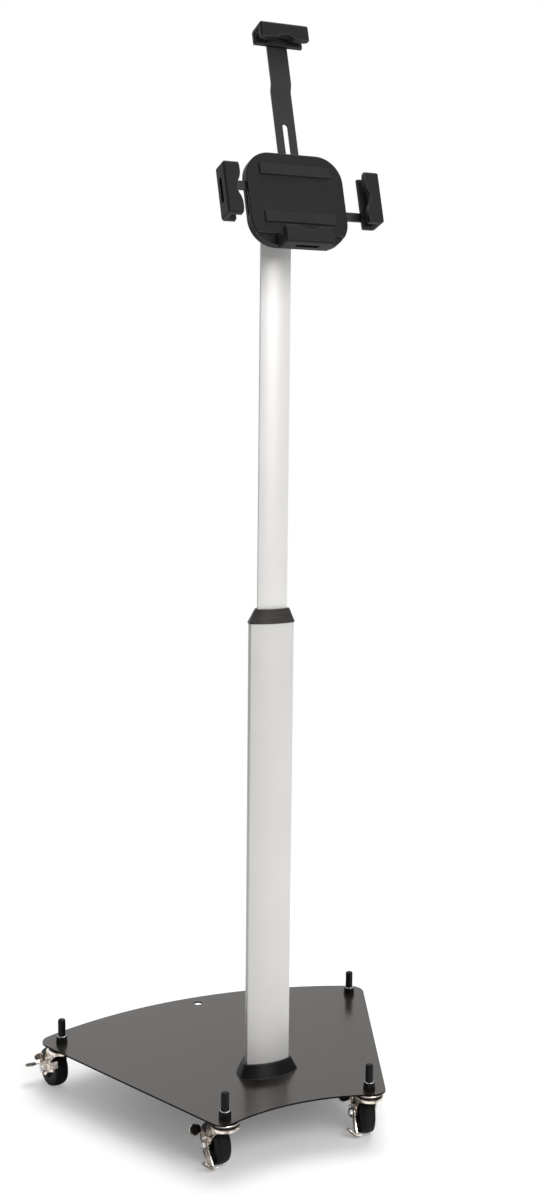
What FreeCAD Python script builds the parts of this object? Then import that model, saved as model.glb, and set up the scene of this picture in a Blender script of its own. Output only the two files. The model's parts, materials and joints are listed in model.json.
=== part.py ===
import FreeCAD, Part
import math
import os
import re
import Sketcher

# Rolling tablet stand: a floor stand on four braked casters, with a two-stage mast and a tilting holder.
# Millimetres. Z is up, X is to the user's right, the user stands on the -Y side. The origin is on the floor
# under the middle of the base plate.

doc = FreeCAD.newDocument("TabletStand")
Vector = FreeCAD.Vector

# Driving dimensions, each a plain number in its own cell

SIZES = {
    # base plate, measured from the mast's front corner line
    "plate_height": 62.2,
    "plate_thickness": 2.2,
    "mast_setback": 73,
    "plate_rear_reach": 249.6,
    "plate_rear_radius": 535,
    "plate_rear_half": 232.6,
    "plate_front_reach": 85,
    "plate_front_radius": 250,
    "plate_front_half": 104.5,
    "rear_corner_radius": 20,
    "front_corner_radius": 15,
    "cable_hole_radius": 5.5,
    "cable_hole_inset": 20.6,
    # caster stems and what is on them
    "stem_inset_rear_side": 28.8,
    "stem_inset_rear_back": 15.5,
    "stem_inset_front_side": 12.1,
    "stem_inset_front_back": 21.5,
    "stem_radius": 4,
    "stem_fit": 0.2,
    "stem_rise": 27.5,
    "washer_radius": 7.3,
    "washer_thickness": 1.6,
    "nut_radius": 7.2,
    "nut_thickness": 6,
    "nut_ring_radius": 5.8,
    "nut_ring_height": 1.4,
    "cap_radius": 4.9,
    "cap_wall_top": 3.2,
    # casters
    "caster_trail": 22.5,
    "wheel_radius": 25,
    "wheel_width": 18,
    "tread_crown": 0.9,
    "tyre_shoulder": 3,
    "core_radius": 15.5,
    "core_recess": 2.2,
    "core_boss": 6.5,
    "wheel_side_gap": 1,
    "axle_radius": 3,
    "running_fit": 0.05,
    "fork_thickness": 2,
    "fork_boss": 8,
    "cup_radius": 17.2,
    "cup_depth": 4.4,
    "crown_radius": 17,
    "crown_thickness": 2.2,
    "crown_skirt": 2.4,
    "kingpin_radius": 5,
    "rivet_radius": 8,
    "rivet_thickness": 2,
    "bolt_head_radius": 5.6,
    "bolt_head_height": 4,
    "rocker_thickness": 1.8,
    "rocker_hub": 8.8,
    "pedal_reach": 31,
    "pedal_rise": 18.5,
    "pedal_half": 7,
    "heel_reach": 8,
    "shoe_flare": 10.5,
    "shoe_flare_rise": 9,
    "shoe_gap": 1.3,
    "pedal_up_angle": 60,
    "brake_throw": 74,
    "heading_rear_left": -10.6,
    "heading_rear_right": 24,
    "heading_front_left": -5,
    "heading_front_right": 14,
    # mast, D-shaped tubes
    "lower_tube_half": 27.6,
    "lower_tube_front": 6.3,
    "lower_tube_rear": 29,
    "lower_tube_wall": 2,
    "lower_tube_length": 549,
    "upper_tube_half": 19,
    "upper_tube_corner": 1,
    "upper_tube_front": 3,
    "upper_tube_rear": 16,
    "upper_tube_wall": 1.8,
    "upper_tube_show": 444,
    "upper_tube_hidden": 215,
    "tube_corner": 1.2,
    "guide_fit": 0.15,
    "guide_length": 42,
    "shoe_length": 26,
    "shoe_plug": 20,
    "foot_height": 22,
    "foot_screw_spread": 12,
    "foot_screw_back": 12,
    "screw_radius": 3,
    "foot_screw_head": 5.5,
    "base_collar_height": 15,
    "base_collar_rim": 3,
    "base_collar_flare": 10.2,
    "ferrule_height": 17,
    "ferrule_rim": 3,
    "ferrule_proud": 1,
    # height lock
    "lock_drop": 22,
    "insert_radius": 4.6,
    "insert_flange": 6,
    "insert_flange_height": 1.5,
    "lock_pad_radius": 5,
    "lock_knob_radius": 9,
    "lock_knob_length": 12,
    # mast cap and tilt hinge
    "cap_lid": 4,
    "cap_plug": 18,
    "tilt_forward": 14.6,
    "tilt_rise": 16.7,
    "lean_angle": 17.6,
    "lug_radius": 11,
    "lug_half": 15.5,
    "hinge_gap": 0.3,
    "ear_thickness": 6,
    "tilt_pin_radius": 4,
    "tilt_pin_head": 6.5,
    "tilt_pin_head_height": 5,
    "tilt_knob_radius": 14,
    "tilt_knob_length": 14,
    # holder, measured from the tilt hinge, y to the rear
    "face_reach": 50,
    "device_thickness": 5.6,
    "device_half_width": 84.5,
    "device_half_height": 118.65,
    "hub_drop": 69.5,
    "pad_thickness": 2.1,
    "pad_gap": 0.3,
    "hub_half_width": 58,
    "hub_half_height": 52.5,
    "hub_corner": 30,
    "cover_thickness": 4,
    "cover_edge": 1.2,
    "shell_depth": 10.4,
    "shell_floor": 3,
    "shell_edge": 2.5,
    "cover_drop": 40.5,
    "slide_fit": 0.3,
    "arm_thickness": 3,
    "arm_inner": 20,
    "arm_half_span": 19,
    "gear_module": 1,
    "gear_teeth": 12,
    "rack_teeth": 15,
    "gear_backlash": 0.15,
    "journal_radius": 2.5,
    "top_arm_half": 12,
    "top_arm_thickness": 3.2,
    "top_arm_slot": 3.3,
    "top_arm_slot_top": 92,
    "top_arm_bend": 130,
    "top_arm_bend_run": 8,
    "clamp_rise": 38,
    "clamp_screw_radius": 2.5,
    "clamp_knob_radius": 8,
    "clamp_knob_length": 10,
    "disc_radius": 27,
    "disc_thickness": 5.9,
    "spigot_radius": 11,
    "retainer_radius": 14,
    "retainer_thickness": 2.5,
    "housing_screw_radius": 1.6,
    "housing_screw_head": 3,
    # jaws, x outwards from the device's edge, y back from its face
    "jaw_outside": 8.5,
    "jaw_wall": 5.3,
    "jaw_lip_reach": 10,
    "jaw_lip_front": 12,
    "jaw_lip_back": 5,
    "jaw_flange_reach": 8,
    "jaw_flange_front": 8.3,
    "jaw_flange_back": 12.3,
    "jaw_half_length": 29,
    "jaw_notch": 5,
    "jaw_tip_step": 1.6,
    "jaw_hump": 17,
    "jaw_rounding": 2.6,
    "jaw_slot_half": 14.5,
    "jaw_slot_radius": 3,
    "liner_gap": 0.3,
    "liner_rear": 2.2,
}

sheet = doc.addObject("Spreadsheet::Sheet", "Sizes")
for row, (alias, number) in enumerate(SIZES.items(), start=1):
    sheet.set(f"A{row}", alias.replace("_", " "))
    sheet.set(f"B{row}", str(number))
    sheet.setAlias(f"B{row}", alias)
doc.recompute()


def bound(text):
    """Put the sheet's name in front of every size that an expression names."""
    return re.sub(r"[a-z][a-z_]+", lambda word: "Sizes." + word.group() if word.group() in SIZES else word.group(),
                  str(text))


def value(text):
    """The number that an expression in sizes comes to."""
    return float(sheet.evalExpression(str(text)))


def placed(x, y, z, axis=(0, 0, 1), angle="0"):
    """An expression for a placement: a shift, after a turn about an axis."""
    turn = f"create(<<rotation>>; create(<<vector>>; {axis[0]}; {axis[1]}; {axis[2]}); {angle})"
    return f"create(<<placement>>; create(<<vector>>; {x}; {y}; {z}); {turn})"


# Frames that the groups of pieces are drawn in

PLATE_TOP = "(plate_height + plate_thickness)"
MAST = placed("0", "-mast_setback", PLATE_TOP)
UPPER_TOP = "(lower_tube_length + upper_tube_show)"
TILT_HEIGHT = f"({UPPER_TOP} + tilt_rise)"
TILT = MAST + " * " + placed("0", "-tilt_forward", TILT_HEIGHT, (1, 0, 0), "-lean_angle")
TURN_TO_SIDE = placed("0", "0", "0", (0, 1, 0), "90")

# Lengths that follow from the driving dimensions

CORNER_REAR_Y = "(plate_rear_reach - plate_rear_radius + sqrt(plate_rear_radius^2 - plate_rear_half^2))"
CORNER_FRONT_Y = "(-plate_front_reach - plate_front_radius + sqrt(plate_front_radius^2 - plate_front_half^2))"
STEM_REAR = ("(plate_rear_half - stem_inset_rear_side)", f"({CORNER_REAR_Y} - stem_inset_rear_back)")
STEM_FRONT = ("(plate_front_half - stem_inset_front_side)", f"({CORNER_FRONT_Y} + stem_inset_front_back)")
AXLE_DROP = "(plate_height - wheel_radius)"
LEG_INSIDE = "(wheel_width / 2 + wheel_side_gap)"
LEG_OUTSIDE = f"({LEG_INSIDE} + fork_thickness)"
ROCKER_INSIDE = f"({LEG_OUTSIDE} + hinge_gap)"
ROCKER_OUTSIDE = f"({ROCKER_INSIDE} + rocker_thickness)"
SHOE_INSIDE = "(wheel_radius + shoe_gap)"
SHOE_OUTSIDE = f"({SHOE_INSIDE} + rocker_thickness)"
EAR_INSIDE = "(lug_half + hinge_gap)"
EAR_OUTSIDE = f"({EAR_INSIDE} + ear_thickness)"
PITCH = "(gear_module * gear_teeth / 2)"
FLANGE_BACK = "(-face_reach + jaw_flange_back)"
DEVICE_BACK = "(-face_reach + device_thickness)"
COVER_FRONT = f"({DEVICE_BACK} + pad_gap + pad_thickness)"
COVER_BACK = f"({COVER_FRONT} + cover_thickness)"
SHELL_BACK = f"({COVER_BACK} + shell_depth)"
SHELL_INSIDE = f"({SHELL_BACK} - shell_floor)"
ARM_FRONT = FLANGE_BACK
ARM_BACK = f"({ARM_FRONT} + arm_thickness)"
TOP_ARM_BACK = f"({SHELL_INSIDE} - slide_fit)"
TOP_ARM_FRONT = f"({TOP_ARM_BACK} - top_arm_thickness)"
DISC_FRONT = f"({SHELL_BACK} + hinge_gap)"
DISC_BACK = f"({DISC_FRONT} + disc_thickness)"
SPIGOT_END = f"({DISC_BACK} + hinge_gap)"


def to(x, y):
    """A corner of an outline."""
    return ("corner", x, y)


def through(x, y):
    """A point that the arc between two corners passes through."""
    return ("through", x, y)


class Piece:
    """One sub-part: a body with its sketches and features, placed in the stand."""

    def __init__(self, label, frame):
        self.body = doc.addObject("PartDesign::Body", label)
        self.body.Label = label
        self.body.AllowCompound = True
        self.body.setExpression("Placement", bound(frame))
        self.count = 0

    def sketch(self, plane, height):
        """An empty sketch on one of the body's own planes, moved along the plane's normal."""
        self.count += 1
        sketch = self.body.newObject("Sketcher::SketchObject", f"{self.body.Name}_sketch_{self.count}")
        base = next(item for item in self.body.Origin.OriginFeatures if item.Role == plane + "_Plane")
        sketch.AttachmentSupport = [(base, "")]
        sketch.MapMode = "FlatFace"
        sketch.setExpression("AttachmentOffset.Base.z", bound(height))
        return sketch

    def pin(self, sketch, geometry, point, x, y):
        """Hold one point of a sketch at its distances from the origin."""
        for kind, distance in (("DistanceX", x), ("DistanceY", y)):
            constraint = Sketcher.Constraint(kind, -1, 1, geometry, point, value(distance))
            index = sketch.addConstraint(constraint)
            sketch.setExpression(f"Constraints[{index}]", bound(distance))

    def path(self, sketch, path):
        """Draw a closed outline of lines and arcs."""
        curves = []
        for place, step in enumerate(path):
            if step[0] == "through":
                continue
            follows = path[(place + 1) % len(path)]
            middle = follows if follows[0] == "through" else None
            goal = path[(place + (2 if middle else 1)) % len(path)]
            points = [Vector(value(x), value(y), 0) for kind, x, y in filter(None, (step, middle, goal))]
            curves.append((step, middle) + self.curve(sketch, points))
        for number, (corner, middle, curve, start, end) in enumerate(curves):
            before = curves[number - 1]
            sketch.addConstraint(Sketcher.Constraint("Coincident", before[2], before[4], curve, start))
            self.pin(sketch, curve, start, corner[1], corner[2])
            if middle:
                spot = Part.Point(Vector(value(middle[1]), value(middle[2]), 0))
                point = sketch.addGeometry(spot, True)
                sketch.addConstraint(Sketcher.Constraint("PointOnObject", point, 1, curve))
                self.pin(sketch, point, 1, middle[1], middle[2])

    @staticmethod
    def curve(sketch, points):
        """Draw a line or an arc; arcs run against the clock, so one that does not is drawn from its far end."""
        if len(points) == 2:
            return sketch.addGeometry(Part.LineSegment(*points), False), 1, 2
        turn = (points[1] - points[0]).cross(points[2] - points[1]).z
        if turn > 0:
            return sketch.addGeometry(Part.Arc(*points), False), 1, 2
        return sketch.addGeometry(Part.Arc(*reversed(points)), False), 2, 1

    def circle(self, sketch, x, y, radius):
        """Draw a circle."""
        index = sketch.addGeometry(Part.Circle(Vector(value(x), value(y), 0), Vector(0, 0, 1), value(radius)), False)
        self.pin(sketch, index, 3, x, y)
        constraint = sketch.addConstraint(Sketcher.Constraint("Radius", index, value(radius)))
        sketch.setExpression(f"Constraints[{constraint}]", bound(radius))

    def draw(self, sketch, shapes):
        """Draw several outlines: a list is a path and a tuple is a circle."""
        for shape in shapes:
            if isinstance(shape, list):
                self.path(sketch, shape)
            else:
                self.circle(sketch, *shape)

    def slab(self, plane, shapes, low, high):
        """Add the shapes as material between two heights along the plane's axis."""
        sketch = self.sketch(plane, f"-({high})" if plane == "XZ" else low)
        self.draw(sketch, shapes)
        pad = self.body.newObject("PartDesign::Pad", f"{sketch.Name}_pad")
        pad.Profile = sketch
        pad.setExpression("Length", bound(f"({high}) - ({low})"))
        return pad

    def cut(self, plane, shapes, low, high):
        """Take the shapes away between two heights along the plane's axis."""
        sketch = self.sketch(plane, f"-({low})" if plane == "XZ" else high)
        self.draw(sketch, shapes)
        pocket = self.body.newObject("PartDesign::Pocket", f"{sketch.Name}_pocket")
        pocket.Profile = sketch
        pocket.setExpression("Length", bound(f"({high}) - ({low})"))
        return pocket

    def turned(self, path):
        """Turn an outline, drawn as radius and height, about the upright axis."""
        sketch = self.sketch("XZ", "0")
        self.draw(sketch, [path])
        turn = self.body.newObject("PartDesign::Revolution", f"{sketch.Name}_turn")
        turn.Profile = sketch
        turn.ReferenceAxis = (sketch, ["V_Axis"])
        turn.Angle = 360
        return turn

    def loft(self, low_path, low, high_path, high):
        """Join two level outlines by straight sides."""
        lower = self.sketch("XY", low)
        self.draw(lower, [low_path])
        upper = self.sketch("XY", high)
        self.draw(upper, [high_path])
        loft = self.body.newObject("PartDesign::AdditiveLoft", f"{lower.Name}_loft")
        loft.Profile = lower
        loft.Sections = [upper]
        loft.Ruled = True
        return loft

    def repeat(self, feature, kind, axis, settings):
        """Repeat a feature round an axis or along it."""
        doc.recompute()
        pattern = self.body.newObject(f"PartDesign::{kind}", f"{self.body.Name}_pattern_{self.count}")
        pattern.Originals = [feature]
        role = next(item for item in self.body.Origin.OriginFeatures if item.Role == axis)
        if kind == "PolarPattern":
            pattern.Axis = (role, [""])
        else:
            pattern.Direction = (role, [""])
        for name, setting in settings.items():
            pattern.setExpression(name, bound(setting))
        self.body.Tip = pattern
        return pattern

    def ease(self, kind, size, chosen):
        """Round or chamfer the edges that a test picks out."""
        doc.recompute()
        tip = self.body.Tip
        names = [f"Edge{number}" for number, edge in enumerate(tip.Shape.Edges, start=1) if chosen(edge)]
        dressing = self.body.newObject(f"PartDesign::{kind}", f"{self.body.Name}_{kind}_{self.count}")
        dressing.Base = (tip, names)
        dressing.setExpression("Radius" if kind == "Fillet" else "Size", bound(size))
        self.count += 1
        doc.recompute()
        return dressing


def is_line_along(edge, direction):
    """Whether an edge is straight and runs along a direction."""
    if edge.Curve.TypeId != "Part::GeomLine":
        return False
    return abs(edge.tangentAt(edge.FirstParameter).dot(Vector(*direction))) > 0.999


def is_at(edge, axis, height):
    """Whether all of an edge lies at one height along an axis."""
    box = edge.BoundBox
    low = (box.XMin, box.YMin, box.ZMin)[axis]
    high = (box.XMax, box.YMax, box.ZMax)[axis]
    return abs(low - value(height)) < 1e-4 and abs(high - value(height)) < 1e-4


def rectangle(left, low, right, high):
    """A rectangle's outline."""
    return [to(left, low), to(right, low), to(right, high), to(left, high)]


def d_shape(half, corner, front, rear):
    """The mast's section: a gently bowed front and a round back, with the corners between them rounded."""
    beside = f"({half} - tube_corner * 0.9)"
    below = f"({corner} - tube_corner * 0.434)"
    bend = f"({half} - tube_corner * 0.243)"
    bend_level = f"({corner} + tube_corner * 0.153)"
    return [
        to(f"-({half})", f"{corner} + tube_corner"),
        through(f"-{bend}", bend_level),
        to(f"-{beside}", below),
        through("0", front),
        to(beside, below),
        through(bend, bend_level),
        to(half, f"{corner} + tube_corner"),
        through("0", rear),
    ]


def lower_section(grow):
    """The lower tube's section, grown outwards by a distance."""
    return d_shape(f"lower_tube_half + {grow}", "0", f"-lower_tube_front - ({grow})", f"lower_tube_rear + {grow}")


def upper_section(grow):
    """The upper tube's section, grown outwards by a distance."""
    return d_shape(f"upper_tube_half + {grow}", "upper_tube_corner",
                   f"-upper_tube_front - ({grow})", f"upper_tube_rear + {grow}")


def hexagon(x, y, radius):
    """A hexagon's outline, corners at a radius."""
    turns = [math.radians(60 * step) for step in range(6)]
    return [to(f"{x} + ({radius}) * {math.cos(turn):.6f}", f"{y} + ({radius}) * {math.sin(turn):.6f}")
            for turn in turns]


def stem_places():
    """Where the four caster stems stand, in the mast's frame."""
    return {
        "rear_left": (f"-{STEM_REAR[0]}", STEM_REAR[1]),
        "rear_right": STEM_REAR,
        "front_left": (f"-{STEM_FRONT[0]}", STEM_FRONT[1]),
        "front_right": STEM_FRONT,
    }


# Base


def make_base_plate():
    """The fan-shaped steel plate, with its stem holes, foot screw holes and the open hole near the rear arc."""
    plate = Piece("base_plate", MAST)
    outline = [
        to("plate_rear_half", CORNER_REAR_Y),
        through("0", "plate_rear_reach"),
        to("-plate_rear_half", CORNER_REAR_Y),
        to("-plate_front_half", CORNER_FRONT_Y),
        through("0", "-plate_front_reach"),
        to("plate_front_half", CORNER_FRONT_Y),
    ]
    holes = [("0", "plate_rear_reach - cable_hole_inset", "cable_hole_radius")]
    holes += [(x, y, "stem_radius + stem_fit") for x, y in stem_places().values()]
    holes += [(f"{side} * foot_screw_spread", "foot_screw_back", "screw_radius + stem_fit") for side in (-1, 1)]
    plate.slab("XY", [outline] + holes, "-plate_thickness", "0")
    for radius, rear in (("rear_corner_radius", True), ("front_corner_radius", False)):
        plate.ease("Fillet", radius, lambda edge: is_line_along(edge, (0, 0, 1))
                   and abs(edge.CenterOfMass.x) > value("plate_front_half") * 0.97
                   and (edge.CenterOfMass.y > 0) == rear)


def make_stem_parts():
    """The caster stems with their kingpins, the fixed swivel cups, and the washers, lock nuts and caps."""
    places = stem_places().values()
    stems = Piece("caster_stems", MAST)
    under = "-plate_thickness"
    cup_low = f"({under} - cup_depth)"
    pin_low = f"({cup_low} - hinge_gap - crown_thickness - hinge_gap)"
    stems.slab("XY", [(x, y, "stem_radius") for x, y in places], cup_low, "stem_rise")
    stems.slab("XY", [(x, y, "kingpin_radius") for x, y in places], pin_low, cup_low)
    stems.slab("XY", [(x, y, "rivet_radius") for x, y in places], f"{pin_low} - rivet_thickness", pin_low)
    stems.ease("Chamfer", "rivet_thickness * 0.6", lambda edge: is_at(edge, 2, f"{pin_low} - rivet_thickness"))
    cups = Piece("swivel_cups", MAST)
    cups.slab("XY", [(x, y, "cup_radius") for x, y in places], cup_low, under)
    cups.cut("XY", [(x, y, "stem_radius") for x, y in places], cup_low, under)
    cups.ease("Chamfer", "cup_depth * 0.35", lambda edge: is_at(edge, 2, cup_low)
              and edge.Length > 6.5 * value("kingpin_radius"))
    washers = Piece("stem_washers", MAST)
    rings = [(x, y, "washer_radius") for x, y in places] + [(x, y, "stem_radius + stem_fit") for x, y in places]
    washers.slab("XY", rings, "0", "washer_thickness")
    nuts = Piece("stem_nuts", MAST)
    bores = [(x, y, "stem_radius") for x, y in places]
    nut_top = "(washer_thickness + nut_thickness)"
    nuts.slab("XY", [hexagon(x, y, "nut_radius") for x, y in places] + bores, "washer_thickness", nut_top)
    nuts.slab("XY", [(x, y, "nut_ring_radius") for x, y in places] + bores, nut_top, f"{nut_top} + nut_ring_height")
    caps = Piece("stem_caps", MAST)
    cap_low = f"({nut_top} + nut_ring_height)"
    cap_high = "(stem_rise + cap_wall_top)"
    caps.slab("XY", [(x, y, "cap_radius") for x, y in places], cap_low, cap_high)
    caps.cut("XY", [(x, y, "stem_radius") for x, y in places], cap_low, "stem_rise")
    caps.ease("Fillet", "cap_radius * 0.55", lambda edge: is_at(edge, 2, cap_high))


def make_foot():
    """The block inside the lower tube's foot, and the screws that hold it from under the plate."""
    foot = Piece("mast_foot", MAST)
    screws = [(f"{side} * foot_screw_spread", "foot_screw_back", "screw_radius") for side in (-1, 1)]
    foot.slab("XY", [lower_section("-lower_tube_wall - guide_fit")] + screws, "0", "foot_height")
    bolts = Piece("foot_screws", MAST)
    bolts.slab("XY", screws, "-plate_thickness", "foot_height - 2")
    heads = [(x, y, "foot_screw_head") for x, y, radius in screws]
    bolts.slab("XY", heads, "-plate_thickness - screw_radius", "-plate_thickness")
    bolts.ease("Chamfer", "screw_radius * 0.6", lambda edge: is_at(edge, 2, "-plate_thickness - screw_radius"))


# Mast


def make_lower_tube():
    """The fixed outer tube, with the hole for the height lock's insert."""
    tube = Piece("lower_tube", MAST)
    tube.slab("XY", [lower_section("0")], "0", "lower_tube_length")
    tube.cut("XY", [lower_section("-lower_tube_wall")], "0", "lower_tube_length")
    tube.cut("XZ", [("0", "lower_tube_length - lock_drop", "insert_radius")],
             "lower_tube_rear - 2 * lower_tube_wall", "lower_tube_rear + 1")


def make_collars():
    """The flared collar round the mast's foot and the ferrule between the two tubes."""
    collar = Piece("base_collar", MAST)
    foot_outline = d_shape("lower_tube_half + base_collar_flare", "-base_collar_flare * 0.4",
                           "-lower_tube_front - base_collar_flare", "lower_tube_rear + base_collar_flare")
    rim = lower_section("base_collar_rim")
    collar.loft(foot_outline, "0", rim, "base_collar_height")
    collar.cut("XY", [lower_section("stem_fit")], "0", "base_collar_height")
    ferrule = Piece("tube_ferrule", MAST)
    top = "(lower_tube_length + ferrule_height)"
    ferrule.loft(lower_section("ferrule_proud"), "lower_tube_length", upper_section("ferrule_rim"), top)
    ferrule.cut("XY", [upper_section("hinge_gap")], "lower_tube_length", top)


def make_guide():
    """The bush inside the lower tube that the upper tube slides in."""
    bush = Piece("guide_bush", MAST)
    low = "(lower_tube_length - guide_length)"
    bush.slab("XY", [lower_section("-lower_tube_wall - guide_fit"), upper_section("guide_fit")],
              low, "lower_tube_length")
    bush.cut("XZ", [("0", "lower_tube_length - lock_drop", "lock_pad_radius + guide_fit")],
             "upper_tube_rear - upper_tube_wall", "lower_tube_rear")


def make_height_lock():
    """The knob and screw at the back of the mast, its threaded insert and the pad that it presses."""
    across = placed("0", "0", "lower_tube_length - lock_drop", (1, 0, 0), "-90")
    frame = MAST + " * " + across
    pad_front = "(upper_tube_rear + guide_fit)"
    insert_inside = "(lower_tube_rear - lower_tube_wall - 1)"
    insert_outside = "(lower_tube_rear + insert_flange_height)"
    screw_tip = f"({insert_inside} - 1)"
    pad = Piece("lock_pad", frame)
    pad.slab("XY", [("0", "0", "lock_pad_radius")], pad_front, f"{screw_tip} - guide_fit")
    insert = Piece("lock_insert", frame)
    bore = ("0", "0", "screw_radius + running_fit")
    insert.slab("XY", [("0", "0", "insert_radius - guide_fit"), bore], insert_inside, "lower_tube_rear + guide_fit")
    insert.slab("XY", [("0", "0", "insert_flange"), bore], "lower_tube_rear + guide_fit", insert_outside)
    knob = Piece("lock_knob", frame)
    knob_low = f"({insert_outside} + 1.5)"
    knob_high = f"({knob_low} + lock_knob_length)"
    knob.slab("XY", [("0", "0", "lock_knob_radius")], knob_low, knob_high)
    knob.ease("Chamfer", "0.8", lambda edge: is_at(edge, 2, knob_high))
    flute = knob.cut("XY", [("lock_knob_radius + 0.6", "0", "1.3")], knob_low, knob_high)
    knob.repeat(flute, "PolarPattern", "Z_Axis", {"Occurrences": "14"})
    knob.slab("XY", [("0", "0", "screw_radius")], screw_tip, knob_low)


def make_upper_tube():
    """The sliding inner tube and the shoe that steadies it inside the lower tube."""
    low = "(lower_tube_length - upper_tube_hidden)"
    tube = Piece("upper_tube", MAST)
    tube.slab("XY", [upper_section("0")], low, UPPER_TOP)
    tube.cut("XY", [upper_section("-upper_tube_wall")], low, UPPER_TOP)
    shoe = Piece("slider_shoe", MAST)
    shoe.slab("XY", [lower_section("-lower_tube_wall - hinge_gap")], f"{low} - shoe_length", low)
    shoe.slab("XY", [upper_section("-upper_tube_wall - guide_fit")], low, f"{low} + shoe_plug")


def make_mast_cap():
    """The cap that plugs the upper tube and carries the tilt hinge's lug."""
    cap = Piece("mast_cap", MAST)
    lid_high = f"({UPPER_TOP} + cap_lid)"
    cap.slab("XY", [upper_section("-upper_tube_wall - guide_fit")], f"{UPPER_TOP} - cap_plug", UPPER_TOP)
    cap.slab("XY", [upper_section("0")], UPPER_TOP, lid_high)
    lug = [
        to("-tilt_forward - lug_radius * 0.7071", f"{TILT_HEIGHT} - lug_radius * 0.7071"),
        through("-tilt_forward", f"{TILT_HEIGHT} + lug_radius"),
        to("-tilt_forward + lug_radius", TILT_HEIGHT),
        to("upper_tube_rear - 2", lid_high),
        to("upper_tube_rear - 2", f"{lid_high} - 1"),
        to("-upper_tube_front", f"{lid_high} - 1"),
        to("-upper_tube_front", lid_high),
    ]
    cap.slab("YZ", [lug], "-lug_half", "lug_half")
    cap.cut("YZ", [("-tilt_forward", TILT_HEIGHT, "tilt_pin_radius + running_fit")], "-lug_half", "lug_half")


def make_tilt_parts():
    """The tilt pin and its knob, and the tilt head with its two ears and turning disc."""
    frame = MAST + " * " + placed("0", "-tilt_forward", TILT_HEIGHT) + " * " + TURN_TO_SIDE
    head_low = f"(-{EAR_OUTSIDE} - hinge_gap - tilt_pin_head_height)"
    knob_low = f"({EAR_OUTSIDE} + hinge_gap)"
    knob_high = f"({knob_low} + tilt_knob_length)"
    pin = Piece("tilt_pin", frame)
    pin.slab("XY", [("0", "0", "tilt_pin_radius")], f"{head_low} + tilt_pin_head_height", f"{knob_high} - 2")
    pin.slab("XY", [("0", "0", "tilt_pin_head")], head_low, f"{head_low} + tilt_pin_head_height")
    pin.cut("XY", [hexagon("0", "0", "tilt_pin_radius * 0.7")], head_low, f"{head_low} + 2.5")
    knob = Piece("tilt_knob", frame)
    knob.slab("XY", [("0", "0", "tilt_knob_radius")], knob_low, knob_high)
    knob.ease("Chamfer", "1.5", lambda edge: is_at(edge, 2, knob_high))
    knob.cut("XY", [("0", "0", "tilt_pin_radius + running_fit")], knob_low, f"{knob_high} - 1.5")
    scoop = knob.cut("XY", [("tilt_knob_radius * 1.22", "0", "tilt_knob_radius * 0.42")], knob_low, knob_high)
    knob.repeat(scoop, "PolarPattern", "Z_Axis", {"Occurrences": "6"})
    head = Piece("tilt_head", TILT)
    head.slab("XZ", [("0", "0", "disc_radius")], DISC_FRONT, DISC_BACK)
    ear_root = "(disc_radius * 0.68)"
    ear = [
        to(f"{DISC_BACK} - 1", f"-{ear_root}"),
        to(f"{DISC_BACK}", f"-{ear_root}"),
        to("-lug_radius * 0.4", "-lug_radius * 0.9165"),
        through("lug_radius", "0"),
        to("-lug_radius * 0.4", "lug_radius * 0.9165"),
        to(f"{DISC_BACK}", ear_root),
        to(f"{DISC_BACK} - 1", ear_root),
    ]
    head.slab("YZ", [ear], EAR_INSIDE, EAR_OUTSIDE)
    head.slab("YZ", [ear], f"-{EAR_OUTSIDE}", f"-{EAR_INSIDE}")
    head.cut("YZ", [("0", "0", "tilt_pin_radius + running_fit")], f"-{EAR_OUTSIDE}", EAR_OUTSIDE)
    head.cut("XZ", [("0", "0", "spigot_radius + running_fit")], DISC_FRONT, DISC_BACK)


# Holder


def hub_outline():
    """The housing's outline seen from the front, a rectangle with round corners."""
    reach = "(hub_corner * 0.70711)"
    inner = "(hub_half_width - hub_corner)"
    upper = "(hub_half_height - hub_corner)"
    return [
        to("hub_half_width", upper),
        through(f"{inner} + {reach}", f"{upper} + {reach}"),
        to(inner, "hub_half_height"),
        to(f"-{inner}", "hub_half_height"),
        through(f"-{inner} - {reach}", f"{upper} + {reach}"),
        to("-hub_half_width", upper),
        to("-hub_half_width", f"-{upper}"),
        through(f"-{inner} - {reach}", f"-{upper} - {reach}"),
        to(f"-{inner}", "-hub_half_height"),
        to(inner, "-hub_half_height"),
        through(f"{inner} + {reach}", f"-{upper} - {reach}"),
        to("hub_half_width", f"-{upper}"),
    ]


def housing_screw_places():
    """Where the four screws that close the housing stand."""
    return [(f"{side} * hub_half_width * 0.7", height) for side in (-1, 1)
            for height in ("hub_half_height * 0.64", "-hub_half_height * 0.53")]


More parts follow.
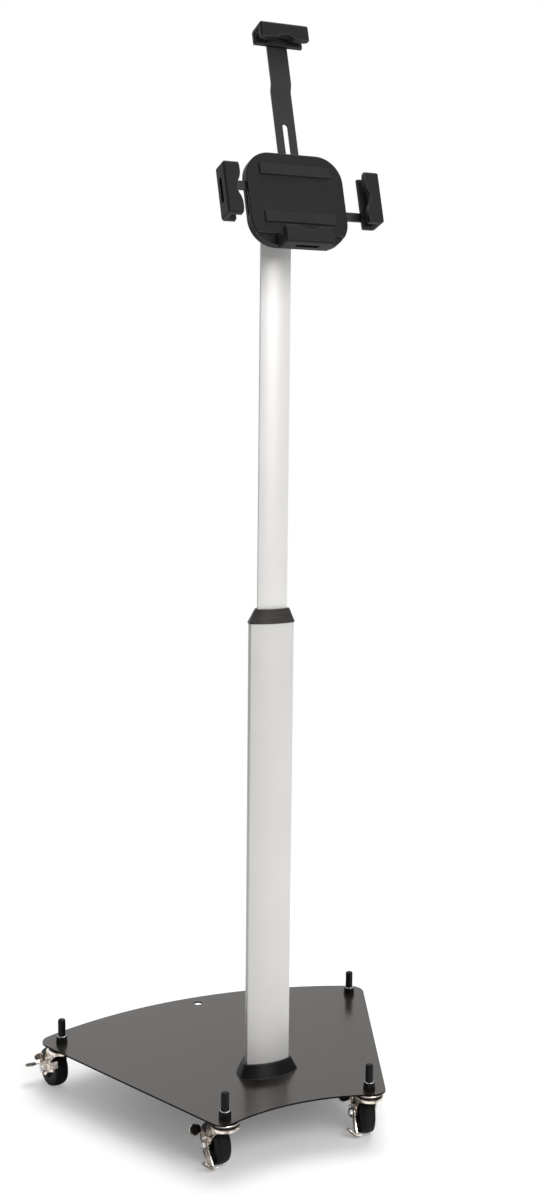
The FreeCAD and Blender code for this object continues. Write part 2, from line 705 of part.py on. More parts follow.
def make_hub():
    """The housing's rear shell with its arm channels, its front cover, its screws and the rubber pads."""
    shell = Piece("housing_shell", TILT)
    shell.slab("XZ", [hub_outline()], COVER_BACK, SHELL_BACK)
    shell.ease("Fillet", "shell_edge", lambda edge: is_at(edge, 1, SHELL_BACK))
    channel_half = "(arm_half_span + slide_fit)"
    shell.cut("XZ", [rectangle("-hub_half_width - 1", f"-{channel_half}", "hub_half_width + 1", channel_half)],
              COVER_BACK, f"{ARM_BACK} + slide_fit")
    groove_half = "(top_arm_half + slide_fit)"
    shell.cut("XZ", [rectangle(f"-{groove_half}", "-hub_half_height + 2", groove_half, "hub_half_height + 1")],
              COVER_BACK, SHELL_INSIDE)
    below_cover = rectangle("-hub_half_width - 1", "-hub_half_height - 1", "hub_half_width + 1", "-cover_drop")
    shell.cut("XZ", [below_cover], COVER_BACK, f"{FLANGE_BACK} + running_fit")
    shell.slab("XZ", [("0", "0", "spigot_radius")], SHELL_BACK, SPIGOT_END)
    shell.cut("XZ", [("0", "0", "journal_radius + running_fit")], SHELL_INSIDE, f"{SHELL_BACK} - 0.4")
    shell.cut("XZ", [("0", "0", "clamp_screw_radius")], SHELL_BACK, SPIGOT_END)
    shell.cut("XZ", [("0", "clamp_rise", "clamp_screw_radius + running_fit")], SHELL_INSIDE, SHELL_BACK)
    holes = [(x, z, "housing_screw_radius") for x, z in housing_screw_places()]
    shell.cut("XZ", holes, COVER_BACK, SHELL_BACK)
    heads = [(x, z, "housing_screw_head + slide_fit") for x, z in housing_screw_places()]
    shell.cut("XZ", heads, f"{SHELL_BACK} - 2", SHELL_BACK)
    cover = Piece("housing_cover", TILT)
    cover.slab("XZ", [hub_outline()], COVER_FRONT, COVER_BACK)
    cover.ease("Fillet", "cover_edge", lambda edge: is_at(edge, 1, COVER_FRONT))
    cover.cut("XZ", [below_cover], COVER_FRONT, COVER_BACK)
    cover.cut("XZ", holes, f"{COVER_BACK} - 3", COVER_BACK)
    cover.cut("XZ", [("0", "0", "journal_radius + running_fit")], f"{COVER_BACK} - 2", COVER_BACK)
    screws = Piece("housing_screws", TILT)
    screws.slab("XZ", holes, f"{COVER_BACK} - 2.8", f"{SHELL_BACK} - 1.8")
    screws.slab("XZ", [(x, z, "housing_screw_head") for x, z in housing_screw_places()],
                f"{SHELL_BACK} - 2", f"{SHELL_BACK} - 0.3")
    pads = Piece("rubber_pads", TILT)
    strips = [rectangle("-hub_half_width * 0.72", f"{height} - 6", "hub_half_width * 0.72", f"{height} + 6")
              for height in ("hub_half_height * 0.62", "-hub_half_height * 0.42")]
    pads.slab("XZ", strips, f"{COVER_FRONT} - pad_thickness", COVER_FRONT)


def make_pivot():
    """The broad-headed screw that keeps the housing's spigot in the tilt head."""
    screw = Piece("pivot_screw", TILT)
    head = f"({SPIGOT_END} + retainer_thickness)"
    screw.slab("XZ", [("0", "0", "clamp_screw_radius")], f"{SHELL_BACK} + 0.5", SPIGOT_END)
    screw.slab("XZ", [("0", "0", "retainer_radius")], SPIGOT_END, head)
    screw.slab("XZ", [("0", "0", "clamp_screw_radius * 1.8")], head, f"{head} + 2.6")
    screw.cut("XZ", [hexagon("0", "0", "clamp_screw_radius")], f"{head} + 0.6", f"{head} + 2.6")


def rack_gap(centre):
    """The space between two rack teeth, about a height along the arm, pitch line at the pinion's edge."""
    slope = math.tan(math.radians(20))
    tip = "(gear_module * 0.7)"
    root = "(gear_module * 1.25)"
    half = "(gear_module * 0.785398 + gear_backlash / 2)"
    return [
        to(f"{centre} - {half} - {tip} * {slope:.5f} - 0.0364", f"{PITCH} - {tip} - 0.1"),
        to(f"{centre} + {half} + {tip} * {slope:.5f} + 0.0364", f"{PITCH} - {tip} - 0.1"),
        to(f"{centre} + {half} - {root} * {slope:.5f}", f"{PITCH} + {root}"),
        to(f"{centre} - {half} + {root} * {slope:.5f}", f"{PITCH} + {root}"),
    ]


def make_arm(side):
    """One of the two side arms: a flat bar with a rack along the edge that faces the pinion."""
    turn = placed("0", "0", "0", (0, 1, 0), "0" if side == "left" else "180")
    arm = Piece(f"arm_{side}", TILT + " * " + turn)
    outer = "(-device_half_width - jaw_outside + jaw_wall)"
    tip = f"({PITCH} - gear_module * 0.7)"
    root = f"({PITCH} + gear_module * 3)"
    pitch_step = "(gear_module * 3.141593)"
    rack_end = f"(-(rack_teeth - 1) / 2 * {pitch_step} - 7)"
    bar = [
        to(outer, root),
        to(f"{rack_end} - 6", root),
        to(rack_end, tip),
        to("arm_inner", tip),
        to("arm_inner", "arm_half_span"),
        to(outer, "arm_half_span"),
    ]
    arm.slab("XZ", [bar], ARM_FRONT, ARM_BACK)
    first = f"(-(rack_teeth - 1) / 2 * {pitch_step} - {pitch_step} * 0.5)"
    gap = arm.cut("XZ", [rack_gap(first)], ARM_FRONT, ARM_BACK)
    arm.repeat(gap, "LinearPattern", "X_Axis",
               {"Occurrences": "rack_teeth", "Length": f"(rack_teeth - 1) * {pitch_step}"})


def make_pinion():
    """The gear between the two racks, on journals that run in the housing."""
    pinion = Piece("pinion", TILT)
    tip = f"({PITCH} + gear_module * 0.9)"
    root = f"({PITCH} - gear_module * 1.1)"
    pinion.slab("XZ", [("0", "0", tip)], ARM_FRONT, ARM_BACK)
    pressure = math.radians(20)
    pitch = value(PITCH)
    base = pitch * math.cos(pressure)
    half_gap = math.pi / 2 / value("gear_teeth") + value("gear_backlash") / 2 / pitch

    def on_flank(radius, side):
        """A point where the gap between two teeth, straight up from the middle, has its flank."""
        roll = math.sqrt(max((radius / base) ** 2 - 1, 0))
        turn = half_gap + roll - math.atan(roll) - (math.tan(pressure) - pressure)
        reach = max(radius, base)
        return f"{side * reach * math.sin(turn):.5f}", f"{reach * math.cos(turn):.5f}"

    outside = value(tip) * 1.07
    heights = [base, base * 0.6 + outside * 0.4, base * 0.3 + outside * 0.7, outside]
    foot, level = on_flank(base, 1)
    gap = [to(f"-({foot})", f"{level} - {base:.5f} + {root}"), to(foot, f"{level} - {base:.5f} + {root}")]
    gap += [to(*on_flank(radius, 1)) for radius in heights]
    gap += [to(*on_flank(radius, -1)) for radius in reversed(heights)]
    tooth_gap = pinion.cut("XZ", [gap], ARM_FRONT, ARM_BACK)
    pinion.repeat(tooth_gap, "PolarPattern", "Y_Axis", {"Occurrences": "gear_teeth"})
    pinion.slab("XZ", [("0", "0", "journal_radius")], f"{COVER_BACK} - 1.7", ARM_FRONT)
    pinion.slab("XZ", [("0", "0", "journal_radius")], ARM_BACK, f"{SHELL_BACK} - 0.7")


def make_top_arm():
    """The slotted arm that slides up out of the housing, stepped forward to its jaw."""
    arm = Piece("arm_top", TILT)
    tip = "(device_half_height + hub_drop + jaw_outside - jaw_wall)"
    step_back = "top_arm_bend"
    step_front = "(top_arm_bend + top_arm_bend_run)"
    fore = f"({FLANGE_BACK})"
    aft = f"({FLANGE_BACK} + top_arm_thickness)"
    side_view = [
        to(TOP_ARM_FRONT, "0"),
        to(TOP_ARM_BACK, "0"),
        to(TOP_ARM_BACK, step_back),
        to(aft, step_front),
        to(aft, tip),
        to(fore, tip),
        to(fore, step_front),
        to(TOP_ARM_FRONT, step_back),
    ]
    arm.slab("YZ", [side_view], "-top_arm_half", "top_arm_half")
    slot = [
        to("-top_arm_slot", "-1"),
        to("top_arm_slot", "-1"),
        to("top_arm_slot", "top_arm_slot_top - top_arm_slot"),
        through("0", "top_arm_slot_top"),
        to("-top_arm_slot", "top_arm_slot_top - top_arm_slot"),
    ]
    arm.cut("XZ", [slot], TOP_ARM_FRONT, TOP_ARM_BACK)
    nut = Piece("clamp_nut", TILT)
    nut.slab("XZ", [rectangle("-top_arm_half + 2", "clamp_rise - 6", "top_arm_half - 2", "clamp_rise + 6"),
                    ("0", "clamp_rise", "clamp_screw_radius + running_fit")],
             f"{COVER_BACK} + 0.1", f"{TOP_ARM_FRONT} - 0.1")
    frame = TILT + " * " + placed("0", SHELL_BACK, "clamp_rise", (1, 0, 0), "-90")
    knob = Piece("clamp_knob", frame)
    knob_low = "(hinge_gap)"
    knob_high = f"({knob_low} + clamp_knob_length)"
    knob.slab("XY", [("0", "0", "clamp_knob_radius")], knob_low, knob_high)
    flute = knob.cut("XY", [("clamp_knob_radius + 0.6", "0", "1.4")], knob_low, knob_high)
    knob.repeat(flute, "PolarPattern", "Z_Axis", {"Occurrences": "12"})
    knob.slab("XY", [("0", "0", "clamp_screw_radius")], f"{COVER_BACK} - {SHELL_BACK} + 0.3", knob_low)


def jaw_frames():
    """Where each jaw's frame sits in the holder: at the middle of the device's edge, x outwards."""
    centre = "(device_half_height + hub_drop)"
    bottom = "(-device_half_height + hub_drop)"
    return {
        "left": placed("-device_half_width", "-face_reach", "0", (0, 1, 0), "180"),
        "right": placed("device_half_width", "-face_reach", "0"),
        "top": placed("0", "-face_reach", centre, (0, 1, 0), "-90"),
        "bottom": placed("0", "-face_reach", bottom, (0, 1, 0), "90"),
    }


def make_jaw(side, frame):
    """One jaw: a moulded channel with a wavy front lip and an oblong slot, and its foam liner."""
    jaw = Piece(f"jaw_{side}", TILT + " * " + frame)
    wall_inside = "(jaw_outside - jaw_wall)"
    section = [
        to("-jaw_lip_reach", "-jaw_lip_front"),
        to("jaw_outside", "-jaw_lip_front"),
        to("jaw_outside", "jaw_flange_back - 3.5"),
        to("jaw_outside - 3.5", "jaw_flange_back"),
        to("-jaw_flange_reach", "jaw_flange_back"),
        to("-jaw_flange_reach", "jaw_flange_front"),
        to(wall_inside, "jaw_flange_front"),
        to(wall_inside, "-jaw_lip_back"),
        to("-jaw_lip_reach", "-jaw_lip_back"),
    ]
    jaw.slab("XY", [section], "-jaw_half_length", "jaw_half_length")
    jaw.ease("Fillet", "jaw_rounding", lambda edge: is_line_along(edge, (0, 0, 1))
             and edge.CenterOfMass.x > value("jaw_outside") - 0.01
             and edge.CenterOfMass.y < 0)
    jaw.ease("Chamfer", "jaw_rounding * 0.6", lambda edge: is_line_along(edge, (1, 0, 0))
             and is_at(edge, 1, "-jaw_lip_front"))
    edge = "(-jaw_lip_reach + jaw_tip_step)"
    valley = "(-jaw_lip_reach + jaw_notch)"
    crest = "(-jaw_lip_reach)"
    saddle = "(-jaw_lip_reach + jaw_notch * 0.4)"
    wave = [
        to("-jaw_lip_reach - 4", "-jaw_half_length - 1"),
        to(edge, "-jaw_half_length - 1"),
        through(crest, "-jaw_hump"),
        to(saddle, "-jaw_hump * 0.55"),
        through(valley, "0"),
        to(saddle, "jaw_hump * 0.55"),
        through(crest, "jaw_hump"),
        to(edge, "jaw_half_length + 1"),
        to("-jaw_lip_reach - 4", "jaw_half_length + 1"),
    ]
    jaw.cut("XZ", [wave], "-jaw_lip_front - 1", "-jaw_lip_back + 1")
    slot_end = "(jaw_slot_half - jaw_slot_radius)"
    slot = [
        to("-jaw_slot_radius", f"-{slot_end}"),
        through("0", "-jaw_slot_half"),
        to("jaw_slot_radius", f"-{slot_end}"),
        to("jaw_slot_radius", slot_end),
        through("0", "jaw_slot_half"),
        to("-jaw_slot_radius", slot_end),
    ]
    jaw.cut("YZ", [slot], wall_inside, "jaw_outside")
    liner = Piece(f"liner_{side}", TILT + " * " + frame)
    foam = [
        to(wall_inside, "-jaw_lip_back"),
        to(wall_inside, "jaw_flange_front"),
        to("-jaw_flange_reach", "jaw_flange_front"),
        to("-jaw_flange_reach", "jaw_flange_front - liner_rear"),
        to("liner_gap", "jaw_flange_front - liner_rear"),
        to("liner_gap", "-jaw_lip_back"),
    ]
    liner.slab("XY", [foam], "-jaw_half_length + 1", "jaw_half_length - 1")


# Casters


def make_caster(name, place, heading, pressed):
    """One caster: stamped fork, axle bolt, wheel core and tyre, and the brake rocker beside the wheel."""
    stem_x, stem_y = place
    caster = (MAST + " * " + placed(stem_x, stem_y, "-plate_thickness", (0, 0, 1), f"90 - {heading}"))
    fork = Piece(f"fork_{name}", caster)
    crown_high = "(-cup_depth - hinge_gap)"
    crown_low = f"({crown_high} - crown_thickness)"
    fork.slab("XY", [("0", "0", "crown_radius")], f"{crown_low} - crown_skirt", crown_high)
    fork.cut("XY", [("0", "0", "crown_radius - fork_thickness")], f"{crown_low} - crown_skirt", crown_low)
    fork.cut("XY", [("0", "0", "kingpin_radius + running_fit")], crown_low, crown_high)
    fork.ease("Fillet", "crown_thickness * 0.45", lambda edge: is_at(edge, 2, crown_high)
              and edge.Length > 6.5 * value("kingpin_radius"))
    axle_z = f"(-{AXLE_DROP})"
    leg = [
        to("-crown_radius * 0.75", crown_low),
        to("crown_radius", crown_low),
        to("caster_trail + fork_boss", axle_z),
        through("caster_trail + fork_boss * 0.316", f"{axle_z} - fork_boss * 0.949"),
        to("caster_trail - fork_boss * 0.8", f"{axle_z} - fork_boss * 0.6"),
        through(f"caster_trail - {SHOE_INSIDE} * 0.7", f"{axle_z} + {SHOE_INSIDE} * 0.67"),
        to("-crown_radius * 0.75", f"{crown_low} - crown_skirt"),
    ]
    bore = ("caster_trail", axle_z, "axle_radius + running_fit")
    fork.slab("XZ", [leg, bore], LEG_INSIDE, LEG_OUTSIDE)
    fork.slab("XZ", [leg, bore], f"-{LEG_OUTSIDE}", f"-{LEG_INSIDE}")
    wheel = caster + " * " + placed("caster_trail", "0", axle_z, (1, 0, 0), "-90")
    axle = Piece(f"axle_{name}", wheel)
    nut_low = f"({ROCKER_OUTSIDE} + hinge_gap)"
    axle.slab("XY", [("0", "0", "axle_radius")], f"-{LEG_OUTSIDE}", f"{nut_low} + bolt_head_height + 1")
    axle.slab("XY", [hexagon("0", "0", "bolt_head_radius")], nut_low, f"{nut_low} + bolt_head_height")
    axle.slab("XY", [("0", "0", "bolt_head_radius")], f"-{LEG_OUTSIDE} - bolt_head_height * 0.45", f"-{LEG_OUTSIDE}")
    core = Piece(f"wheel_core_{name}", wheel)
    half = "(wheel_width / 2)"
    core.turned([
        to("axle_radius + running_fit", f"-{half} - wheel_side_gap + hinge_gap"),
        to("core_boss", f"-{half} - wheel_side_gap + hinge_gap"),
        to("core_boss", f"-{half} + core_recess"),
        to("core_radius - 2", f"-{half} + core_recess"),
        to("core_radius - 2", f"-{half} + 0.4"),
        to("core_radius", f"-{half} + 0.4"),
        to("core_radius", f"{half} - 0.4"),
        to("core_radius - 2", f"{half} - 0.4"),
        to("core_radius - 2", f"{half} - core_recess"),
        to("core_boss", f"{half} - core_recess"),
        to("core_boss", f"{half} + wheel_side_gap - hinge_gap"),
        to("axle_radius + running_fit", f"{half} + wheel_side_gap - hinge_gap"),
    ])
    tyre = Piece(f"tyre_{name}", wheel)
    tread = "(wheel_radius - tread_crown)"
    tyre.turned([
        to("core_radius", f"-{half}"),
        to(f"{tread} - tyre_shoulder", f"-{half}"),
        through(f"{tread} - tyre_shoulder * 0.293", f"-{half} + tyre_shoulder * 0.293"),
        to(tread, f"-{half} + tyre_shoulder"),
        through("wheel_radius", "0"),
        to(tread, f"{half} - tyre_shoulder"),
        through(f"{tread} - tyre_shoulder * 0.293", f"{half} - tyre_shoulder * 0.293"),
        to(f"{tread} - tyre_shoulder", half),
        to("core_radius", half),
    ])
    pedal_angle = "(90 - pedal_up_angle)" + (" + brake_throw" if pressed else "")
    rocker_frame = caster + " * " + placed("caster_trail", "0", axle_z, (0, 1, 0), pedal_angle)
    make_rocker(name, rocker_frame)


def make_rocker(name, frame):
    """The brake rocker, drawn with its pedal straight up from the axle."""
    rocker = Piece(f"brake_{name}", frame)
    plate = [
        to("5", "rocker_hub * 0.84"),
        through("rocker_hub", "0"),
        to("4.5", "-rocker_hub * 0.86"),
        to("2", f"-{SHOE_INSIDE}"),
        to("-9.5", f"-{SHOE_INSIDE} + 1.5"),
        to("-6.2", "-rocker_hub * 0.7"),
        through("-rocker_hub", "-1"),
        to("-rocker_hub * 0.95", "2.2"),
        to("-18", "2.6"),
        to("-18", "8.2"),
        to("-7.5", "rocker_hub * 0.7"),
        to("-5", "pedal_rise * 0.62"),
        to("5", "pedal_rise * 0.62"),
    ]
    bore = ("0", "0", "axle_radius + running_fit")
    rocker.slab("XZ", [plate, bore], ROCKER_INSIDE, ROCKER_OUTSIDE)
    pedal_inner = "(pedal_reach - 2 * pedal_half)"
    pedal = [
        to(ROCKER_INSIDE, "pedal_rise * 0.36"),
        to(ROCKER_OUTSIDE, "pedal_rise * 0.36"),
        to(pedal_inner, "pedal_rise - pedal_half * 0.7"),
        to("pedal_reach - pedal_half", "pedal_rise - pedal_half"),
        through("pedal_reach", "pedal_rise"),
        to("pedal_reach - pedal_half", "pedal_rise + pedal_half"),
        to(pedal_inner, "pedal_rise + pedal_half * 0.6"),
        to(ROCKER_INSIDE, "pedal_rise * 0.62"),
    ]
    rocker.slab("YZ", [pedal], "-5", "-5 + rocker_thickness")
    heel = rectangle("-18", ROCKER_INSIDE, "-10.5", f"{ROCKER_OUTSIDE} + heel_reach")
    rocker.slab("XY", [heel], "8.2 - rocker_thickness", "8.2")
    shoe = [
        to("wheel_width / 2 - 1.5", f"-{SHOE_INSIDE}"),
        to("wheel_width / 2 - 1.5", f"-{SHOE_OUTSIDE}"),
        to(ROCKER_OUTSIDE, f"-{SHOE_OUTSIDE}"),
        to(f"{ROCKER_OUTSIDE} + shoe_flare", f"-{SHOE_OUTSIDE} + shoe_flare_rise"),
        to(f"{ROCKER_OUTSIDE} + shoe_flare", f"-{SHOE_INSIDE} + shoe_flare_rise"),
        to(ROCKER_OUTSIDE, f"-{SHOE_INSIDE}"),
    ]
    rocker.slab("YZ", [shoe], "-10.5", "-1.5")


def build():
    """Make every piece."""
    make_base_plate()
    make_stem_parts()
    make_foot()
    make_lower_tube()
    make_collars()
    make_guide()
    make_height_lock()
    make_upper_tube()
    make_mast_cap()
    make_tilt_parts()
    make_hub()
    make_pivot()
    for side in ("left", "right"):
        make_arm(side)
    make_pinion()
    make_top_arm()
    for side, frame in jaw_frames().items():
        make_jaw(side, frame)
    for name, place in stem_places().items():
        make_caster(name, place, f"heading_{name}", name == "rear_left")


def check_and_write():
    """Check every object and sub-part, then write one file for each sub-part."""
    doc.recompute()
    failed = [item.Name for item in doc.Objects if set(item.State) & {"Invalid", "Error"}]
    if failed:
        raise RuntimeError(f"these did not build: {failed}")
    bodies = [item for item in doc.Objects if item.TypeId == "PartDesign::Body"]
    for body in bodies:
        if body.Shape.isNull() or not body.Shape.isValid() or not body.Shape.Solids:
            raise RuntimeError(f"{body.Label} is not a sound solid")
    os.makedirs("parts", exist_ok=True)
    for body in bodies:
        body.Shape.exportStep(f"parts/{body.Label}.step")
    print(len(bodies), "sub-parts written")


build()
check_and_write()
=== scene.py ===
import json
import math
from collections import namedtuple

import bmesh
import bpy
from bpy.props import FloatProperty, FloatVectorProperty, PointerProperty
from mathutils import Matrix, Vector


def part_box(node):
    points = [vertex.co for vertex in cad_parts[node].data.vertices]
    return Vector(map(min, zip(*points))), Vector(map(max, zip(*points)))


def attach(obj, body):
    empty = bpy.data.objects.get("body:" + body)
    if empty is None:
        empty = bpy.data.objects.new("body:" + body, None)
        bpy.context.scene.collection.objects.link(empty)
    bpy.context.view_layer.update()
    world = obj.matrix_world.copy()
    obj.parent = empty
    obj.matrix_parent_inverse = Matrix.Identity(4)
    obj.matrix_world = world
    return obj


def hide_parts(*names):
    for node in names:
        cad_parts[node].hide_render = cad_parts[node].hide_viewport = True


bl_info = {
    "name": "Rolling Tablet Stand",
    "version": (1, 0, 0),
    "blender": (4, 5, 0),
    "location": "View3D > Sidebar > Stand",
    "description": "Dresses a rolling tablet stand: plate, casters, mast, tilt head and holder",
    "category": "Add Mesh",
}

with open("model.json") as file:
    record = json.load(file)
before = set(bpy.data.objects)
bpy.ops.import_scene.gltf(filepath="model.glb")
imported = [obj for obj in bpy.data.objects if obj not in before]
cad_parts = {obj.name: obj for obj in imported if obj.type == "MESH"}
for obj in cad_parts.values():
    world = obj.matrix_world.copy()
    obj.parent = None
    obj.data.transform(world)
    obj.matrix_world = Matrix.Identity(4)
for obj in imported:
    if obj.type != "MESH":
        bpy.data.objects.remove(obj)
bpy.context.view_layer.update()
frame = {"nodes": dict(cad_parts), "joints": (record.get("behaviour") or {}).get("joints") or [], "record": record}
NODES = frame["nodes"]
JOINTS = {joint["name"]: joint for joint in frame["joints"]}
NODE_SLOT = {part["node"]: part["material_slot"] for part in frame["record"]["subparts"]}

MM = 0.001
CORNERS = ("rear_left", "rear_right", "front_left", "front_right")
SIDES = ("left", "right", "top", "bottom")

# The plate's underside and top, and the mast's frame: its front line where it stands on the plate

PLATE_LOW, PLATE_TOP = (corner.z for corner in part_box("base_plate"))
MAST_Y = -73 * MM
MAST = Matrix.Translation((0, MAST_Y, PLATE_TOP))

# Turns a drawn outline upright: its y becomes the height

UPRIGHT = Matrix.Rotation(math.radians(90), 4, "X")

Bend = namedtuple("Bend", "x y")


# Sizes and colours that a user would change


class StandSizes(bpy.types.PropertyGroup):
    """Small shapes that dress the solids."""

    edge: FloatProperty(name="Edge", description="Rounding of moulded edges", default=0.6 * MM,
                        unit="LENGTH")
    sheet_edge: FloatProperty(name="Sheet edge", description="Rounding of stamped sheet edges",
                              default=0.35 * MM, unit="LENGTH")
    groove: FloatProperty(name="Tread groove", description="Depth of the line at each side of a tyre",
                          default=0.35 * MM, unit="LENGTH")


class StandColours(bpy.types.PropertyGroup):
    """Base colours of the finishes."""

    plate: FloatVectorProperty(name="Plate", description="Powder coat of the base plate",
                               subtype="COLOR", size=3, default=(0.0125, 0.0098, 0.008))
    plastic: FloatVectorProperty(name="Plastic", description="Moulded black parts",
                                 subtype="COLOR", size=3, default=(0.0085, 0.0083, 0.0085))
    brushed: FloatVectorProperty(name="Brushed black", description="Collar between the tubes",
                                 subtype="COLOR", size=3, default=(0.030, 0.027, 0.0245))
    tube: FloatVectorProperty(name="Tube", description="Anodised tubes",
                              subtype="COLOR", size=3, default=(0.735, 0.725, 0.71))
    nickel: FloatVectorProperty(name="Nickel", description="Plated caster stampings",
                                subtype="COLOR", size=3, default=(0.78, 0.70, 0.62))
    zinc: FloatVectorProperty(name="Zinc", description="Bright screws, bolts and nuts",
                              subtype="COLOR", size=3, default=(0.66, 0.66, 0.65))
    brass: FloatVectorProperty(name="Brass", description="Threaded insert",
                               subtype="COLOR", size=3, default=(0.72, 0.52, 0.24))
    nylon: FloatVectorProperty(name="Nylon", description="Guides and pads inside the mast",
                               subtype="COLOR", size=3, default=(0.13, 0.13, 0.135))
    rubber: FloatVectorProperty(name="Rubber", description="Tyres, wheels, pads and liners",
                                subtype="COLOR", size=3, default=(0.0070, 0.0068, 0.0068))
    floor: FloatVectorProperty(name="Floor", description="Floor and backdrop",
                               subtype="COLOR", size=3, default=(0.95, 0.95, 0.95))


# Shader maths


def solid(colour):
    """A colour with its alpha."""
    return tuple(colour) + (1.0,)


def shade(colour, factor):
    """A colour made lighter or darker."""
    return tuple(min(1.0, channel * factor) for channel in colour)


class Signal:
    """A socket of a node tree that Python expressions reckon with."""

    def __init__(self, nodes, socket):
        self.nodes = nodes
        self.socket = socket

    def __add__(self, other):
        return self.nodes.reckon("ADD", self, other)

    __radd__ = __add__

    def __rsub__(self, other):
        return self.nodes.reckon("SUBTRACT", other, self)

    def __mul__(self, other):
        return self.nodes.reckon("MULTIPLY", self, other)

    def eased(self, low, high):
        """0 below low, 1 above high and smooth between them."""
        return self.nodes.node("ShaderNodeMapRange", {"interpolation_type": "SMOOTHSTEP"},
                               {"Value": self, "From Min": low, "From Max": high})


class Nodes:
    """The node tree of a material or a world, empty at first."""

    def __init__(self, owner):
        owner.use_nodes = True
        self.tree = owner.node_tree
        self.tree.nodes.clear()

    def node(self, kind, settings=None, values=None, output=0):
        """Add a node: its settings first, then the values or links of its sockets."""
        made = self.tree.nodes.new(kind)
        for name, setting in (settings or {}).items():
            setattr(made, name, setting)
        for name, value in (values or {}).items():
            if isinstance(value, Signal):
                self.tree.links.new(value.socket, made.inputs[name])
            else:
                made.inputs[name].default_value = value
        return Signal(self, made.outputs[output])

    def reckon(self, operation, *values):
        """The outcome of one step of maths."""
        return self.node("ShaderNodeMath", {"operation": operation}, dict(enumerate(values)))

    def part(self, axis, vector):
        """A vector's X, Y or Z."""
        return self.node("ShaderNodeSeparateXYZ", None, {"Vector": vector}, output=axis)

    def along(self, vector, way):
        """How far a vector goes along a direction."""
        return self.node("ShaderNodeVectorMath", {"operation": "DOT_PRODUCT"}, {0: vector, 1: way},
                         output="Value")

    def blend(self, share, first, second):
        """Two surfaces mixed by a share of the second."""
        return self.node("ShaderNodeMixShader", None, {0: share, 1: first, 2: second})

    def show(self, kind, surface):
        """Make a surface the one that the tree's output, of a kind, shows."""
        output = next((node for node in self.tree.nodes if node.bl_idname == kind), None)
        if output is None:
            output = self.tree.nodes.new(kind)
        self.tree.links.new(surface.socket, output.inputs["Surface"])


class Finish(Nodes):
    """A material made of nodes."""

    def __init__(self, name, colour, **sockets):
        self.material = bpy.data.materials.new(name)
        super().__init__(self.material)
        self.surface = self.node("ShaderNodeBsdfPrincipled")
        self.shader = self.surface.socket.node
        self.show("ShaderNodeOutputMaterial", self.surface)
        self.shader.inputs["Base Color"].default_value = solid(colour)
        self.material.diffuse_color = solid(colour)
        for socket, value in sockets.items():
            self.shader.inputs[socket.replace("_", " ")].default_value = value

    def feed(self, **signals):
        """Link signals to the shader's sockets."""
        for socket, signal in signals.items():
            self.tree.links.new(signal.socket, self.shader.inputs[socket.replace("_", " ")])

    def place(self, stretch=(1, 1, 1)):
        """Where a point is on the object, in metres, times a factor along each axis."""
        where = self.node("ShaderNodeTexCoord", output="Object")
        return self.node("ShaderNodeMapping", {"vector_type": "POINT"}, {
            "Vector": where, "Scale": stretch})

    def grain(self, size, detail, stretch=(1, 1, 1), rough=0.5):
        """Noise with features of a size in millimetres, from 0 to 1."""
        return self.node("ShaderNodeTexNoise", {"noise_dimensions": "3D"}, {
            "Vector": self.place(stretch), "Scale": 1 / (size * MM), "Detail": detail,
            "Roughness": rough})

    def mixed(self, share, first, second):
        """A colour between two colours."""
        first, second = (colour if isinstance(colour, Signal) else solid(colour)
                         for colour in (first, second))
        return self.node("ShaderNodeMix", {"data_type": "RGBA"}, {0: share, 6: first, 7: second},
                         output=2)

    def bumped(self, height, distance, strength):
        """A normal from a height, whose full step is a distance in millimetres."""
        return self.node("ShaderNodeBump", None, {
            "Height": height, "Distance": distance * MM, "Strength": strength})

    def normal(self):
        """The surface's own normal."""
        return self.node("ShaderNodeNewGeometry", output="Normal")

    def facing(self, axis):
        """How squarely the surface faces along an axis, either way, from 0 to 1."""
        return self.reckon("ABSOLUTE", self.part(axis, self.normal()))

    # The mask gives real wear on some finishes, and painted highlights and painted shade along the edges on
    # others.
    def edge_wear(self, radius):
        """1 along outer edges and 0 on faces, from how far a rounded normal leaves the real one."""
        softened = self.node("ShaderNodeBevel", {"samples": 6}, {"Radius": radius * MM})
        return (1.0 - self.along(softened, self.normal())).eased(0.005, 0.16)


# Finishes, each made from the stand's colours


def powder_coat(colours):
    """The plate's smooth black coat, with painted shade: darker along its edges, and darker and dull on its cut
    edge.
    """
    black = colours.plate
    coat = Finish("powder_coat", black, Roughness=0.3, Specular_IOR_Level=1.0,
                  Specular_Tint=(1.0, 0.95, 0.91, 1.0))
    grain = coat.grain(1.1, 3.0)
    cloud = coat.grain(60.0, 3.0)
    # painted shade: the edges darkened towards a deeper black
    wear_and_painted_light = coat.edge_wear(0.8) * 0.35
    spread = (cloud * 0.7 + grain * 0.3).eased(0.3, 0.7)
    tint = coat.mixed(spread, shade(black, 0.9), shade(black, 1.12))
    coat.feed(Base_Color=coat.mixed(wear_and_painted_light, tint, shade(black, 0.45)),
              Roughness=0.17 + cloud * 0.06 + grain * 0.03,
              Normal=coat.bumped(grain, 0.025, 0.4))
    # painted shade: the cut edge's side faces get a darker colour, and a rougher, less shiny coat
    edge = coat.node("ShaderNodeBsdfPrincipled", None, {
        "Base Color": solid(shade(black, 0.3)), "Roughness": 0.75, "Specular IOR Level": 0.08})
    flat = coat.facing("Z").eased(0.5, 0.95)
    coat.show("ShaderNodeOutputMaterial", coat.blend(flat, edge, coat.surface))
    return coat


def bracket_coat(colours):
    """The textured black coat of brackets and arms."""
    black = shade(colours.plastic, 1.3)
    coat = Finish("bracket_coat", black, Roughness=0.45, Specular_IOR_Level=0.35)
    grain = coat.grain(0.9, 3.0)
    wear_and_painted_light = coat.edge_wear(0.5) * 0.5
    coat.feed(Base_Color=coat.mixed(wear_and_painted_light, black, shade(colours.plastic, 7.0)),
              Roughness=0.4 + grain * 0.15,
              Normal=coat.bumped(grain, 0.04, 0.5))
    return coat


